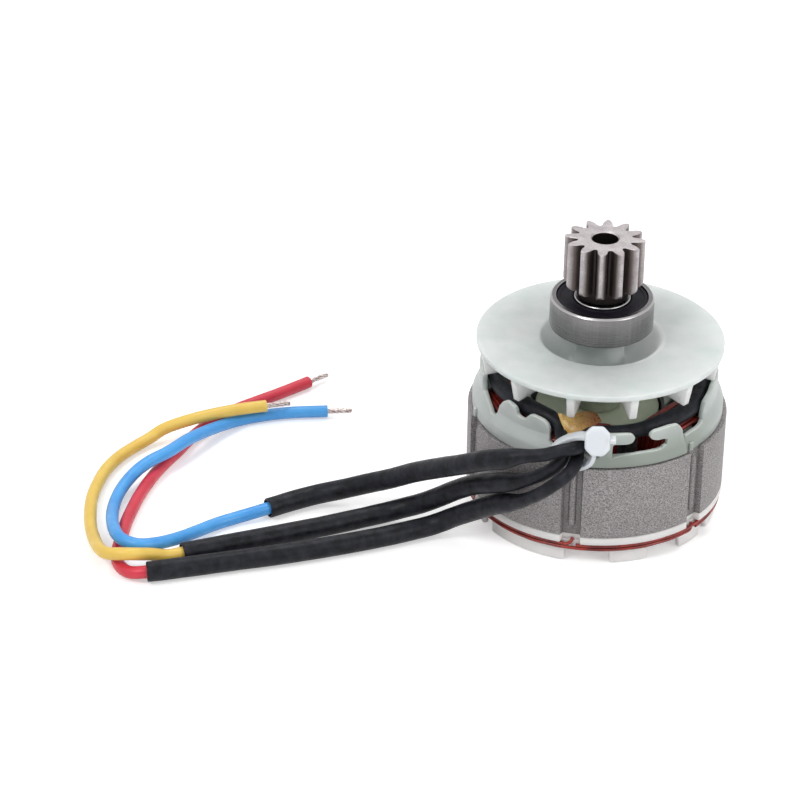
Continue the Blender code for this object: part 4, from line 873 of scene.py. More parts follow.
def slot_outline(tooth_width, bore):
    """The bore and the winding slots, as one loop."""
    pitch = 360.0 / TEETH
    mouth = pitch / 2 - slot_angle(bore, SLOT_MOUTH)
    lip = pitch / 2 - slot_angle(LIP_RADIUS, SLOT_MOUTH)
    root = slot_angle(ROOT_RADIUS, tooth_width)
    back = slot_angle(YOKE_RADIUS, tooth_width)
    loop = []
    for middle in tooth_azimuths():
        after = middle + pitch
        loop += arc(bore, middle - mouth, middle + mouth, 14)
        loop += [flat_point(LIP_RADIUS, middle + lip), flat_point(ROOT_RADIUS, middle + root)]
        loop += arc(YOKE_RADIUS, middle + back, after - back, 14)
        loop += [flat_point(ROOT_RADIUS, after - root), flat_point(LIP_RADIUS, after - lip)]
    return loop


def block(work, low, high, azimuth, edge, segments=2):
    """Adds a box with rounded edges, between two corners (across, radius, height)."""
    size = [b - a for a, b in zip(low, high)]
    middle = [(a + b) / 2 for a, b in zip(low, high)]
    box = bmesh.new()
    bmesh.ops.create_cube(box, size=1.0)
    bmesh.ops.transform(
        box, verts=box.verts,
        matrix=Matrix.Rotation(math.radians(azimuth), 4, "Z")
        @ Matrix.Translation((middle[0], -middle[1], middle[2])) @ Matrix.Diagonal((*size, 1.0)),
    )
    bmesh.ops.bevel(
        box, geom=list(box.edges), offset=edge, segments=segments, profile=0.5, affect="EDGES",
    )
    joined(work, box)


def make_camera():
    data = bpy.data.cameras.new("camera")
    data.lens = CAMERA_LENS
    data.sensor_width = SENSOR
    data.sensor_fit = "HORIZONTAL"
    data.clip_start = 0.01
    data.clip_end = 20.0
    camera = placed("camera", data)
    yaw, pitch, roll = CAMERA_YAW, CAMERA_PITCH, CAMERA_ROLL
    level = math.cos(pitch)
    ahead = Vector((math.sin(yaw) * level, math.cos(yaw) * level, -math.sin(pitch)))
    right = Vector((math.cos(yaw), -math.sin(yaw), 0.0))
    up = right.cross(ahead)
    across = right * math.cos(roll) + up * math.sin(roll)
    over = up * math.cos(roll) - right * math.sin(roll)
    matrix = Matrix((across, over, -ahead)).transposed().to_4x4()
    matrix.translation = Vector(CAMERA_PLACE)
    camera.matrix_world = matrix
    bpy.context.scene.camera = camera


def metres(points):
    """Points given in millimetres."""
    return [[value / 1000 for value in point] for point in points]


def smooth_route(points, steps):
    """Points on a Catmull-Rom curve through the route's own points."""
    route = [Vector(point) for point in points]
    route = [2 * route[0] - route[1], *route, 2 * route[-1] - route[-2]]
    found = []
    for before, start, end, after in zip(route, route[1:], route[2:], route[3:]):
        for k in range(steps):
            t = k / steps
            found.append(0.5 * (
                2 * start
                + (end - before) * t
                + (2 * before - 5 * start + 4 * end - after) * t * t
                + (3 * start - before - 3 * end + after) * t**3
            ))
    return [*found, route[-2]]


def evenly(points, spacing):
    """The same curve, read at even steps of about the spacing given."""
    lengths = [0.0]
    for start, end in zip(points, points[1:]):
        lengths.append(lengths[-1] + (end - start).length)
    count = max(2, round(lengths[-1] / spacing))
    found = []
    at = 0
    for k in range(count + 1):
        target = lengths[-1] * k / count
        while at < len(points) - 2 and lengths[at + 1] < target:
            at += 1
        share = (target - lengths[at]) / (lengths[at + 1] - lengths[at])
        found.append(points[at].lerp(points[at + 1], share))
    return found


def sleeve_radius(at, covered):
    """The sleeve's outer radius at a point, thin at the tie and full away from it."""
    if not covered:
        share = (at.y - INNER_THIN_FROM) / (INNER_FULL_FROM - INNER_THIN_FROM)
        return SLEEVE_THIN + (INNER_RADIUS - SLEEVE_THIN) * min(1.0, max(0.0, share))
    share = (SLEEVE_THIN_UNTIL - at.x) / (SLEEVE_THIN_UNTIL - SLEEVE_FULL_FROM)
    share = min(1.0, max(0.0, share))
    return SLEEVE_THIN + (SLEEVE_RADIUS - SLEEVE_THIN) * share * share * (3.0 - 2.0 * share)


def lead(colour):
    """One lead: its sleeve, the coloured wire that runs through it, and its tinned end."""
    inner, sleeve, wire = INNER_ROUTES[colour], SLEEVE_ROUTES[colour], WIRE_ROUTES[colour]
    whole = smooth_route(metres((*inner, *sleeve, *wire)), ROUTE_STEPS)
    tie_at = (len(inner) - 1) * ROUTE_STEPS + ROUTE_STEPS // 2
    mouth_at = (len(inner) + len(sleeve) - 1) * ROUTE_STEPS
    hidden = evenly(whole[: tie_at + 1], SLEEVE_STEP)
    shown = evenly(whole[tie_at : mouth_at + 1], SLEEVE_STEP)[1:]
    points = hidden + shown
    radii = [sleeve_radius(at, False) for at in hidden] + [sleeve_radius(at, True) for at in shown]
    for k, at in enumerate(points):
        ripple = noise.noise(at * 260.0 + Vector((SEED, 0.0, 0.0)))
        radii[k] -= SLEEVE_RIPPLE * max(0.0, ripple)
    inside = points[-round(SLEEVE_MOUTH / SLEEVE_STEP):][::-1]
    points = points[:-1] + [points[-1].lerp(points[-2], 0.35), points[-1], points[-1]]
    radii = radii[:-1] + [radii[-1] - SLEEVE_WALL * share for share in (0.0, 0.3, 0.75)]
    directions = frames(points[:-2], False)
    directions += [directions[-1]] * 2 + directions[-len(inside):][::-1]
    points += inside
    radii += [SLEEVE_RADIUS - SLEEVE_WALL] * len(inside)
    tube = bmesh.new()
    rings = [
        section(tube, at, across, up, circle(radius, SLEEVE_SIDES))
        for at, radius, (across, up, ahead) in zip(points, radii, directions)
    ]
    bridge(tube, rings, caps=False)
    tube.faces.new(rings[0][::-1])
    sleeve_piece = piece(
        f"cover_{colour}", tube, "sleeve", "stator",
        (f"inner_lead_{colour}", f"sleeve_{colour}"), "sleeve",
    )

    run = evenly(whole[tie_at:], CORE_STEP)
    curve = bpy.data.curves.new(f"lead_{colour}", "CURVE")
    curve.dimensions = "3D"
    curve.bevel_depth = WIRE_RADIUS
    curve.bevel_resolution = 4
    curve.use_fill_caps = True
    spline = curve.splines.new("POLY")
    spline.points.add(len(run) - 1)
    for point, at in zip(spline.points, run):
        point.co = (*at, 1.0)
        point.radius = min(1.0, (sleeve_radius(at, True) - SLEEVE_WALL) / WIRE_RADIUS)
    curve.materials.append(LOOKS[colour].material)
    core = placed(f"lead_{colour}", curve)
    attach(core, "stator")
    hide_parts(f"wire_{colour}")

    strands = bmesh.new()
    heading = (run[-1] - run[-2]).normalized()
    side = heading.orthogonal().normalized()
    up = heading.cross(side)
    base = run[-1] - heading * TIP_COVERED
    for k in range(TIP_STRANDS):
        path = []
        off = 0.0 if k == TIP_STRANDS - 1 else TIP_RING
        reach = TIP_LENGTH + 0.0009 - dice.uniform(0.0, 0.0005)
        for i in range(15):
            angle = math.tau * (k / (TIP_STRANDS - 1) + 0.75 * i / 14)
            path.append(
                base + heading * (reach * i / 14)
                + side * (off * math.cos(angle)) + up * (off * math.sin(angle))
            )
        sweep(strands, path, TIP_STRAND, 8)
    tip = piece(f"strands_{colour}", strands, "tin", "stator", (f"tip_{colour}",), "tin", 60.0)


def stack():
    work = plate(
        [stack_outline(GROOVE_DEPTH), slot_outline(TOOTH_WIDTH, BORE_RADIUS)],
        STACK_BOTTOM, STACK_TOP, STACK_EDGE,
    )
    centre = STACK_RADIUS - GROOVE_DEPTH - BEAD_RADIUS * 0.2
    low, high = STACK_BOTTOM + BEAD_END_GAP, STACK_TOP - BEAD_END_GAP
    for tooth, azimuth in enumerate(tooth_azimuths()):
        path, widths = [], []
        for k in range(BEAD_STEPS + 1):
            height = low + (high - low) * k / BEAD_STEPS
            taper = min(1.0, 0.35 + 8.0 * min(k, BEAD_STEPS - k) / BEAD_STEPS)
            drift = 0.00004 * noise.noise(Vector((tooth * 7.0, height * 900.0, 0.0)))
            path.append(azimuth_point(centre + drift, azimuth, height))
            widths.append(BEAD_RADIUS * taper * (0.90 + 0.10 * (k % 5) / 5))
        sweep(work, path, widths, 16)
    piece("laminations", work, "lamination", "stator", ("lamination_stack",), "lamination", 40.0)


def wall_radius(height):
    """The upper wall's outer face: a skirt, a sloping shoulder and an upright wall."""
    share = (height - SHOULDER_LOW) / (SHOULDER_HIGH - SHOULDER_LOW)
    share = min(1.0, max(0.0, share))
    share = share * share * (3.0 - 2.0 * share) * 0.5 + share * 0.5
    return SKIRT_RADIUS + (WALL_RADIUS - SKIRT_RADIUS) * share


def formers(work, low, high):
    start = (-TOOTH_WIDTH / 2, LIP_RADIUS + 0.0006, low)
    end = (TOOTH_WIDTH / 2, YOKE_RADIUS, high)
    for azimuth in tooth_azimuths():
        block(work, start, end, azimuth, 0.0005, 3)


def flange(outside, low, high):
    holes = slot_outline(TOOTH_WIDTH + FORMER_EXTRA, BORE_RADIUS + BORE_EXTRA)
    return plate([outside, holes], low, high, FLANGE_EDGE)


def upper_cap():
    reach = math.radians(WALL_RADIUS)
    corners = [
        (azimuth, WALL_TOP if height is None else height, degrees * reach)
        for azimuth, height, degrees in CREST
    ]
    corners += [(181.0, CAP_LOW, 0.0), (-181.0, CAP_LOW, 0.0)]
    levels = [SHOULDER_LOW + (SHOULDER_HIGH - SHOULDER_LOW) * k / 4 for k in range(5)]
    work = bent_wall(corners, wall_radius, CAP_WALL, levels, WALL_EDGE)
    outside = arc(SKIRT_RADIUS - 0.0004, -180.0, 178.0, 179)
    joined(work, flange(outside, CAP_LOW, CAP_LOW + CAP_FLANGE))
    formers(work, CAP_LOW + 0.0004, FORMER_TOP)
    front = [(azimuth, height, degrees * reach) for azimuth, height, degrees in FRONT_WALL]
    joined(work, bent_wall(front, lambda height: SILL_RADIUS, CAP_WALL, (), WALL_EDGE))
    offset = slot_angle(STACK_RADIUS, GROOVE_WIDTH) * 0.72
    width, height, edge = PEG
    low = CAP_LOW + 0.00015
    for azimuth in tooth_azimuths():
        block(
            work, (-width / 2, SKIRT_RADIUS - 0.0006, low),
            (width / 2, STACK_RADIUS - 0.0004, low + height), azimuth - offset, edge,
        )
    piece("upper_cap", work, "nylon", "stator", ("upper_insulator",), "nylon", 40.0)


def lower_cap():
    base = LOWER_FLANGE_TOP - LOWER_FLANGE
    corners = [(-181.0, base + 0.0004, 0.0), (-181.0, TAB_ROOT, 0.0)]
    for third in range(-1, 3):
        for start, end in TAB_SPANS:
            left, right = start + third * 120.0, end + third * 120.0
            if left > -180.0 and right < 180.0:
                corners += [
                    (left, TAB_ROOT, 0.0003), (left + TAB_SLANT, 0.0, 0.0005),
                    (right - TAB_SLANT, 0.0, 0.0005), (right, TAB_ROOT, 0.0003),
                ]
    corners += [(181.0, TAB_ROOT, 0.0), (181.0, base + 0.0004, 0.0)]
    work = bent_wall(corners, lambda height: TAB_RADIUS, TAB_WALL, (TAB_ROOT,), WALL_EDGE)
    joined(work, flange(stack_outline(GROOVE_DEPTH * 1.3), base, LOWER_FLANGE_TOP))
    formers(work, LOWER_FORMER_BOTTOM, LOWER_FLANGE_TOP - 0.0004)
    piece("lower_cap", work, "tab", "stator", ("lower_insulator",), "nylon", 40.0)


def section_shares(along):
    """How far the winding is built up at its sides and at its ends, as shares."""
    for (low, *first), (high, *second) in zip(COIL_SECTION, COIL_SECTION[1:]):
        if along <= high:
            t = (along - low) / (high - low)
            return tuple(a + (b - a) * t for a, b in zip(first, second))
    return COIL_SECTION[-1][1:]


def strand_loop(side_out, top_out, bottom_out, depth, lay, turned, wobble):
    """One turn of wire round a tooth. It steps across by one pitch on its top run."""
    def round_corner(x, z, degrees):
        direction = math.radians(degrees)
        lean = math.sin(direction)
        end_out = top_out if lean > 0 else bottom_out
        out = side_out + (end_out - side_out) * lean * lean
        return Vector((x + out * math.cos(direction), 0.0, z + out * lean))

    path = []
    corners = (
        (COIL_INSIDE, COIL_BOTTOM), (COIL_INSIDE, COIL_TOP),
        (-COIL_INSIDE, COIL_TOP), (-COIL_INSIDE, COIL_BOTTOM),
    )
    for number, corner in enumerate(corners):
        start = 90.0 * number - 90.0
        spots = [round_corner(*corner, start + 22.5 * k) for k in range(5)]
        goal = round_corner(*corners[(number + 1) % 4], start + 90.0)
        spots += [spots[4].lerp(goal, k / 4) for k in range(1, 4)]
        for k, spot in enumerate(spots):
            share = k / len(spots)
            step = (0.0, share, 1.0, 1.0 - share)[number] - 0.5
            shake = noise.noise_vector(spot * 180.0 + wobble) * 0.00007
            rise = min(1.0, max(0.0, (spot.z - STACK_TOP - 0.0008) / 0.0015))
            flare = COIL_FLARE * rise * (depth - COIL_INNER_END) / (COIL_OUTER_END - COIL_INNER_END)
            spot.y = -(depth + step * lay + flare)
            path.append(turned @ (spot + shake))
    return path


def windings():
    span = COIL_OUTER_END - COIL_INNER_END - 2 * STRAND
    builds = (COIL_SIDE_BUILD, COIL_TOP_BUILD, COIL_BOTTOM_BUILD)
    for tooth, azimuth in enumerate(tooth_azimuths(), 1):
        work = bmesh.new()
        turned = Matrix.Rotation(math.radians(azimuth), 3, "Z")
        for layer in range(STRAND_LAYERS):
            share = (layer + 0.5) / STRAND_LAYERS
            side_out, top_out, bottom_out = (
                STRAND + (build - 2 * STRAND) * layer / (STRAND_LAYERS - 1) for build in builds
            )
            for k in range(int(span / STRAND_PITCH) + 1):
                across = (k + 0.5 * (layer % 2)) * STRAND_PITCH
                along = across / span
                side_share, end_share = section_shares(along)
                if along > 1.0 or side_share < share + 0.02:
                    continue
                squeeze = min(1.0, end_share / side_share)
                wobble = Vector((dice.uniform(0, 40), dice.uniform(0, 40), dice.uniform(0, 40)))
                path = strand_loop(
                    side_out, max(STRAND, top_out * squeeze), max(STRAND, bottom_out * squeeze),
                    COIL_INNER_END + STRAND + across, STRAND_PITCH * 0.9, turned, wobble,
                )
                sweep(work, path, STRAND, 8, closed=True)
        piece(f"winding_{tooth}", work, "copper", "stator", (f"coil_{tooth}",), "copper", 60.0)


def crossovers():
    """The strands that run round below the stack, some turning up into the weld notches."""
    runs = (
        ((0.0046, -168.0, -13.0, True), (0.0045, -9.0, 96.0, False)),
        ((0.0037, -160.0, 47.5, True), (0.0038, 52.0, 168.0, False)),
    )
    for number, strands in enumerate(runs, 1):
        work = bmesh.new()
        for height, start, end, rises in strands:
            count = max(8, round(abs(end - start) / 3.0))
            path = []
            for k in range(count + 1):
                azimuth = start + (end - start) * k / count
                waver = 0.00012 * noise.noise(Vector((azimuth * 0.12, height * 3000.0, 0.0)))
                path.append(azimuth_point(CROSSOVER_RING, azimuth, height + waver))
            if rises:
                path.append(azimuth_point(CROSSOVER_RING - 0.0002, end + 1.6, height + 0.0005))
                path.append(azimuth_point(CROSSOVER_RING - 0.0006, end + 2.4, height + 0.0013))
            sweep(work, smooth_route(path, 3), CROSSOVER_RADIUS, 10)
        replaced = (f"crossover_wire_{number}",)
        piece(f"crossing_{number}", work, "copper", "stator", replaced, "copper", 60.0)


def film_sheet(work, columns):
    """Adds a thin creased sheet through columns of points: azimuth, radius and height in mm."""
    rows = []
    for row in zip(*columns):
        rows.append(smooth_route([
            azimuth_point(radius / 1000, azimuth, height / 1000) for azimuth, radius, height in row
        ], 5))
    lattice = [smooth_route(points, 3) for points in zip(*rows)]
    across, along = len(lattice), len(lattice[0])
    sides = [[], []]
    for i in range(across):
        for side in sides:
            side.append([])
        for j in range(along):
            ahead = lattice[min(i + 1, across - 1)][j] - lattice[max(i - 1, 0)][j]
            down = lattice[i][min(j + 1, along - 1)] - lattice[i][max(j - 1, 0)]
            out = down.cross(ahead).normalized()
            crease = 0.00022 * noise.noise(lattice[i][j] * 520.0)
            for side, half in zip(sides, (FILM_THICKNESS / 2, -FILM_THICKNESS / 2)):
                side[i].append(work.verts.new(lattice[i][j] + out * (crease + half)))
    front, back = sides
    for i in range(across - 1):
        for j in range(along - 1):
            work.faces.new((front[i][j], front[i + 1][j], front[i + 1][j + 1], front[i][j + 1]))
            work.faces.new((back[i][j], back[i][j + 1], back[i + 1][j + 1], back[i + 1][j]))
    rim = [(i, 0) for i in range(across)] + [(across - 1, j) for j in range(1, along)]
    rim += [(i, along - 1) for i in range(across - 2, -1, -1)]
    rim += [(0, j) for j in range(along - 2, 0, -1)]
    for (i, j), (k, m) in zip(rim, rim[1:] + rim[:1]):
        work.faces.new((front[i][j], back[i][j], back[k][m], front[k][m]))


def tape():
    """The amber film: it stands over the end turns behind the tie, with a folded flap."""
    work = bmesh.new()
    for columns in (FILM, FILM_FLAP):
        film_sheet(work, columns)
    piece("film", work, "tape", "stator", ("insulating_tape",), "tape", 50.0)


def ribbon(work, points, width, thickness, edge=0.00015):
    """Adds a flat strap along the points, with rounded edges and fine ribs."""
    x, y = width / 2, thickness / 2
    outline = rounded([(-x, -y, edge), (x, -y, edge), (x, y, edge), (-x, y, edge)], 2)
    rings = []
    for k, at in enumerate(points):
        ahead = (points[min(k + 1, len(points) - 1)] - points[max(k - 1, 0)]).normalized()
        across = (Vector((0.0, -1.0, 0.0)) + ahead * ahead.y).normalized()
        out = ahead.cross(across).normalized()
        rib = 0.82 if k % 2 else 1.0
        rings.append(section(
            work, at, across, out, [(a, o * rib if o > 0 else o) for a, o in outline],
        ))
    bridge(work, rings)


def tie():
    """The cable tie: its head's flat back, the ribbed loop and the cut end."""
    work = bmesh.new()
    loop = evenly(smooth_route(metres(TIE_ROUTE), 8), 0.00035)
    ribbon(work, loop, TIE_WIDTH, TIE_THICKNESS)
    width, height, depth = TIE_HEAD
    corner = width * 0.27
    x, y = width / 2, height / 2
    corners = (
        (-x, -y + corner), (-x + corner, -y), (x - corner, -y), (x, -y + corner),
        (x, y - corner), (x - corner, y), (-x + corner, y), (-x, y - corner),
    )
    face = rounded([(a, b, 0.0004) for a, b in corners], 2)
    seat = Matrix.Translation(TIE_HEAD_CENTRE) @ Matrix.Rotation(
        math.radians(90.0 - TIE_HEAD_TILT), 4, "X",
    )
    layers = (
        (-0.5, 0.80), (-0.44, 0.93), (-0.34, 1.0), (0.34, 1.0), (0.42, 0.97), (0.47, 0.92),
        (0.5, 0.84), (0.48, 0.60), (0.47, 0.2),
    )
    bridge(work, [
        [work.verts.new(seat @ Vector((a * scale, b * scale, depth * share))) for a, b in face]
        for share, scale in layers
    ])
    shares = [0.3 + 0.42 * k / 8 for k in range(9)]
    tail = [seat @ Vector((width * share, height * 0.06, depth * 0.1)) for share in shares]
    ribbon(work, tail, TIE_WIDTH, TIE_THICKNESS)
    piece("tie", work, "tie", "stator", ("cable_tie",), "tie", 40.0)


def fan():
    edge = FAN_EDGE
    bowl = FAN_TOP - FUNNEL_DEPTH
    profile = rounded([
        (HUB_RADIUS, HUB_TOP, 0.0002), (HUB_RADIUS, bowl + 0.0004, 0.0010),
        (HUB_RADIUS + 0.0012, bowl, 0.0010), (FUNNEL_RADIUS - 0.0042, bowl + 0.0016, 0.0020),
        (FUNNEL_RADIUS - 0.0014, FAN_TOP - 0.0018, 0.0012),
        (FUNNEL_RADIUS - 0.0002, FAN_TOP, 0.0007),
        (FAN_RADIUS, FAN_TOP, edge), (FAN_RADIUS, FAN_UNDER, edge),
        (FUNNEL_RADIUS + 0.0010, FAN_UNDER, 0.0008),
        (FUNNEL_RADIUS - 0.0004, FAN_UNDER - 0.0012, 0.0008),
        (FUNNEL_RADIUS - 0.0038, bowl, 0.0020), (HUB_RADIUS + 0.0018, bowl - 0.0013, 0.0008),
        (HUB_RADIUS + 0.0004, bowl - 0.0019, 0.0005), (HUB_RADIUS + 0.0002, HUB_BOTTOM, 0.0003),
        (BEARING_BORE, HUB_BOTTOM, 0.0002), (BEARING_BORE, HUB_TOP, 0.0002),
    ], 5)
    work = bmesh.new()
    turn(work, profile, 160)
    blades = bmesh.new()
    outline = (
        (FAN_RADIUS - edge, FAN_UNDER + 0.0004), (FAN_RADIUS - edge, FAN_UNDER),
        (FAN_RADIUS - BLADE_LEAN, BLADE_BOTTOM),
        (FUNNEL_RADIUS + 0.0012, BLADE_BOTTOM + BLADE_RISE),
        (FUNNEL_RADIUS + 0.0012, FAN_UNDER + 0.0004),
    )
    for k in range(BLADES):
        matrix = Matrix.Rotation(math.radians(BLADE_PHASE + k * 360.0 / BLADES), 3, "Z")
        blade = bmesh.new()
        sides = [
            [blade.verts.new(matrix @ Vector((across, -radius, height))) for radius, height in outline]
            for across in (-BLADE_THICKNESS / 2, BLADE_THICKNESS / 2)
        ]
        blade.faces.new(sides[0])
        blade.faces.new(sides[1][::-1])
        for i in range(len(outline)):
            j = (i + 1) % len(outline)
            blade.faces.new((sides[0][i], sides[1][i], sides[1][j], sides[0][j]))
        bmesh.ops.recalc_face_normals(blade, faces=blade.faces)
        low = [e for e in blade.edges if min(v.co.z for v in e.verts) < FAN_UNDER - 0.0002]
        bmesh.ops.bevel(blade, geom=low, offset=BLADE_EDGE, segments=2, profile=0.5, affect="EDGES")
        blades = joined(blades, blade)
    work = united(work, blades)
    piece("fan_wheel", work, "fan", "rotor", ("fan",), "fan", 40.0)


def involute(angle):
    return math.tan(angle) - angle


def pinion_loop():
    """The outline as (radius, angle), with involute flanks and round roots, and its radius."""
    pitch = PINION_MODULE * PINION_TEETH / 2
    pressure = math.radians(PRESSURE_ANGLE)
    base = pitch * math.cos(pressure)
    tip = pitch + PINION_MODULE * (1 + PINION_SHIFT)
    root = pitch - PINION_MODULE * (1.25 - PINION_SHIFT)
    half = (math.pi / 2 + 2 * PINION_SHIFT * math.tan(pressure)) / PINION_TEETH
    flank = []
    for k in range(8):
        radius = base + (tip - base) * k / 7
        spread = half + involute(pressure) - involute(math.acos(min(1.0, base / radius)))
        flank.append((radius, spread))
    loop = []
    for tooth in range(PINION_TEETH):
        middle = math.radians(PINION_PHASE) + math.tau * tooth / PINION_TEETH
        after = middle + math.tau / PINION_TEETH
        loop += [(radius, middle - spread) for radius, spread in flank]
        loop.append((tip, middle))
        loop += [(radius, middle + spread) for radius, spread in reversed(flank)]
        start, end = middle + flank[0][1], after - flank[0][1]
        for k in range(1, 8):
            t = k / 8
            radius = root + (base - root) * abs(2 * t - 1) ** 3
            loop.append((radius, start + (end - start) * t))
    return loop, tip


def pinion():
    loop, tip = pinion_loop()
    work = bmesh.new()
    low, high = PINION_NECK, PINION_TOP
    flat = [Vector((radius * math.cos(angle), radius * math.sin(angle))) for radius, angle in loop]
    inset = []
    for k, point in enumerate(flat):
        along = flat[(k + 1) % len(flat)] - flat[k - 1]
        inset.append(point - Vector((along.y, -along.x)).normalized() * GEAR_EASE)
    rings = []
    for k in range(9):
        rise = GEAR_ROUND * (1 - math.cos(math.pi / 2 * k / 8))
        limit = tip - GEAR_ROUND + math.sqrt(max(0.0, GEAR_ROUND**2 - (GEAR_ROUND - rise) ** 2))
        rings.append([(point * min(1.0, limit / point.length), low + rise) for point in flat])
    rings.append([(point, high - GEAR_EASE) for point in flat])
    rings.append([(point, high) for point in inset])
    for radius, height in (
        (PINION_BORE + PINION_BORE_CHAMFER, high), (PINION_BORE, high - PINION_BORE_CHAMFER),
        (PINION_BORE, PINION_BOTTOM + 0.0003), (PINION_BORE + 0.0003, PINION_BOTTOM),
        (PINION_NECK_RADIUS - 0.0002, PINION_BOTTOM), (PINION_NECK_RADIUS, PINION_BOTTOM + 0.0002),
        (PINION_NECK_RADIUS, low),
    ):
        rings.append([(point.normalized() * radius, height) for point in flat])
    bridge(work, [
        [work.verts.new((point.x, point.y, height)) for point, height in ring] for ring in rings
    ], closed=True)
    piece("gear", work, "sintered", "rotor", ("pinion",), "sintered", 32.0)


def ring_profile(outer, inner, low, high, chamfer):
    """A plain ring's corners, chamfered outside and eased inside."""
    return rounded([
        (outer - chamfer, high, RING_EDGE), (outer, high - chamfer, RING_EDGE),
        (outer, low + chamfer, RING_EDGE), (outer - chamfer, low, RING_EDGE),
        (inner, low, RING_EDGE), (inner, high, RING_EDGE),
    ], 3)


def seal_profile(outer, inner, face, back):
    """A moulded seal: flat rim, shallow channel and a raised lip at the inner ring."""
    deep = (face - back) * 0.35
    return rounded([
        (outer, face, 0.0001), (outer, back, 0.0), (inner, back, 0.0), (inner, face, 0.0001),
        (inner + 0.0005, face, 0.0001), (inner + 0.0007, face - deep, 0.0001),
        (outer - 0.0008, face - deep, 0.0001), (outer - 0.0006, face, 0.0001),
    ], 2)


def turned_piece(name, profile, *what, segments=128):
    work = bmesh.new()
    turn(work, profile, segments)
    piece(name, work, *what)


def bearing(name, race, top, width, outer, bore, inner_outer, seal_outer):
    """Two rings and two seals, as fine lathe work."""
    low = top - width
    turned_piece(
        f"{name}_ring_outside", ring_profile(outer, seal_outer, low, top, RING_CHAMFER),
        "ring", race, (f"{name}_outer_ring",), "steel",
    )
    turned_piece(
        f"{name}_ring_inside", ring_profile(inner_outer, bore, low, top, INNER_CHAMFER),
        "ring", "rotor", (f"{name}_inner_ring",), "steel",
    )
    for label, end, inward in (("upper", top, -1.0), ("lower", low, 1.0)):
        face = end + inward * SEAL_RECESS
        back = face + inward * SEAL_THICKNESS
        turned_piece(
            f"{name}_seal_{label}",
            seal_profile(seal_outer - SEAL_GAP, inner_outer + SEAL_GAP, face, back),
            "rubber", race, (f"{name}_{label}_seal",), "rubber",
        )


def rotor_shaft():
    top, bottom = SHAFT_END, SHAFT_BOTTOM
    turned_piece("rotor_shaft", rounded([
        (0.0, top - 0.0009, 0.0), (0.0005, top - 0.0003, 0.0), (0.0007, top, 0.0001),
        (SHAFT_NOSE - 0.0004, top, 0.0001), (SHAFT_NOSE, top - 0.0004, 0.0001),
        (SHAFT_NOSE, BEARING_TOP - 0.0002, 0.0001), (SHAFT_MAIN, BEARING_TOP - 0.0002, 0.0002),
        (SHAFT_MAIN, REAR_SHOULDER, 0.0002), (REAR_JOURNAL, REAR_SHOULDER, 0.0001),
        (REAR_JOURNAL, bottom + 0.0004, 0.0001), (REAR_JOURNAL - 0.0004, bottom, 0.0001),
        (0.0007, bottom, 0.0001), (0.0005, bottom + 0.0003, 0.0), (0.0, bottom + 0.0009, 0.0),
    ], 2, closed=False), "steel", "rotor", ("shaft",), "steel", segments=96)


def inside_pieces():
    """Turned parts that show only from below or through the slots."""
    tube_low, tube_high = STACK_TOP + 0.0006, HUB_BOTTOM - 0.0003
    for name, node, radius, low, high, look, slot_name in (
        ("spacer_tube", "shaft_spacer", HUB_RADIUS, tube_low, tube_high, "tube", "steel"),
        ("plate_front", "front_balance_plate", 0.0132, 0.0229, 0.0239, "plate", "plate"),
        ("plate_rear", "rear_balance_plate", 0.0127, 0.0069, 0.0079, "plate", "plate"),
    ):
        profile = ring_profile(radius, BEARING_BORE, low, high, INNER_CHAMFER)
        turned_piece(name, profile, look, "rotor", (node,), slot_name)


def dress_hidden_nodes():
    """Gives every node of the frame that still shows its finished material."""
    looks = {"ball": "ring", "cage": "tab", "magnet": "magnet", "rotor_core": "lamination"}
    for name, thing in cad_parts.items():
        if not thing.hide_render:
            look = next((look for word, look in looks.items() if word in name), "steel")
            for material_slot in thing.material_slots:
                material_slot.material = LOOKS[look].material


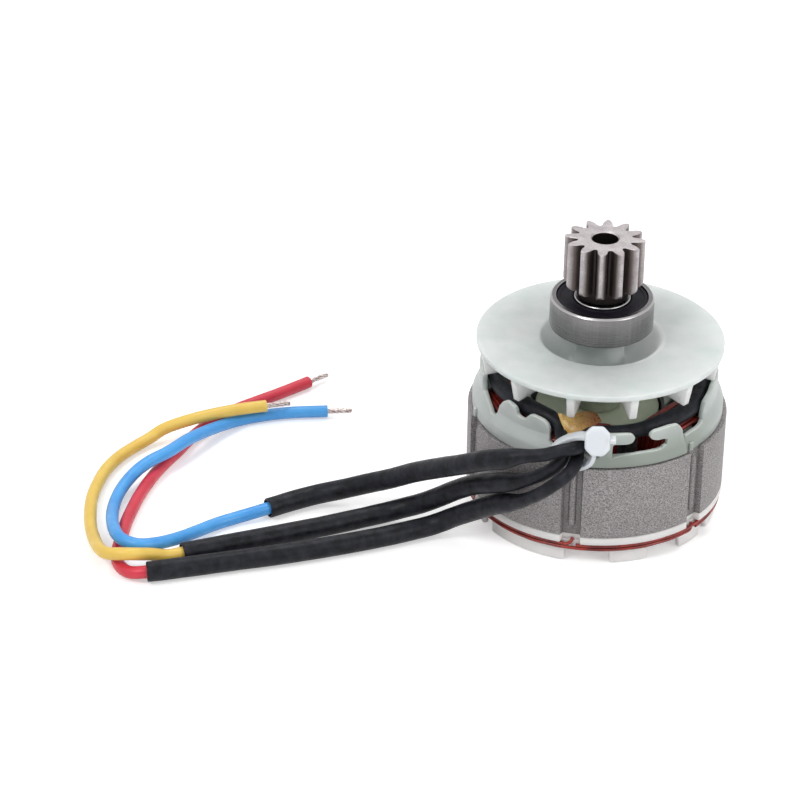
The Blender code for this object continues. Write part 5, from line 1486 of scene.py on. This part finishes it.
def stage():
    """White floor and world, with soft studio light."""
    scene = bpy.context.scene
    scene.view_settings.view_transform = "Standard"
    work = bmesh.new()
    bmesh.ops.create_grid(work, x_segments=2, y_segments=2, size=3.0)
    mesh = as_mesh("floor", work)
    floor = placed("floor", mesh)
    floor.location.z = -0.0002
    material = bpy.data.materials.new("studio_floor")
    material.use_nodes = True
    nodes, links = material.node_tree.nodes, material.node_tree.links
    nodes.clear()
    output = nodes.new("ShaderNodeOutputMaterial")
    plain = nodes.new("ShaderNodeBsdfDiffuse")
    plain.inputs["Color"].default_value = (*FLOOR_COLOUR, 1.0)
    glow = nodes.new("ShaderNodeEmission")
    together = nodes.new("ShaderNodeAddShader")
    links.new(seen_rays(nodes, links, FLOOR_GLOW), glow.inputs["Strength"])
    links.new(plain.outputs[0], together.inputs[0])
    links.new(glow.outputs[0], together.inputs[1])
    links.new(together.outputs[0], output.inputs["Surface"])
    mesh.materials.append(material)

    world = bpy.data.worlds.new("studio")
    scene.world = world
    world.use_nodes = True
    nodes, links = world.node_tree.nodes, world.node_tree.links
    background = nodes["Background"]
    background.inputs["Color"].default_value = (1.0, 1.0, 1.0, 1.0)
    boost = nodes.new("ShaderNodeMath")
    boost.operation = "ADD"
    boost.inputs[1].default_value = WORLD_LEVEL
    links.new(seen_rays(nodes, links, 1.0 - WORLD_LEVEL), boost.inputs[0])
    links.new(boost.outputs[0], background.inputs["Strength"])

    for name, place, target, size, power in LAMPS:
        data = bpy.data.lights.new(name, "AREA")
        data.shape = "DISK"
        data.size = size
        data.energy = power
        lamp = placed(name, data)
        lamp.location = place
        aim = Vector(target) - Vector(place)
        lamp.rotation_euler = aim.to_track_quat("-Z", "Y").to_euler()


def seen_rays(nodes, links, level):
    """A level for what the camera, mirrors and glass see, and 0 for other rays."""
    rays = nodes.new("ShaderNodeLightPath")
    total = rays.outputs["Is Camera Ray"]
    for label in ("Is Glossy Ray", "Is Transmission Ray"):
        step = nodes.new("ShaderNodeMath")
        step.operation = "MAXIMUM"
        links.new(total, step.inputs[0])
        links.new(rays.outputs[label], step.inputs[1])
        total = step.outputs[0]
    scaled = nodes.new("ShaderNodeMath")
    scaled.operation = "MULTIPLY"
    scaled.inputs[1].default_value = level
    links.new(total, scaled.inputs[0])
    return scaled.outputs[0]


make_camera()
for colour in ("blue", "yellow", "red"):
    lead(colour)
stage()
stack()
upper_cap()
lower_cap()
windings()
crossovers()
tape()
tie()
fan()
pinion()
bearing(
    "front", "front_outer_race", BEARING_TOP, BEARING_WIDTH, BEARING_RADIUS, BEARING_BORE,
    INNER_RING_RADIUS, SEAL_OUTER,
)
bearing(
    "rear", "rear_outer_race", REAR_TOP, REAR_WIDTH, REAR_RADIUS, REAR_BORE, REAR_INNER_RING,
    REAR_SEAL,
)
rotor_shaft()
inside_pieces()
dress_hidden_nodes()
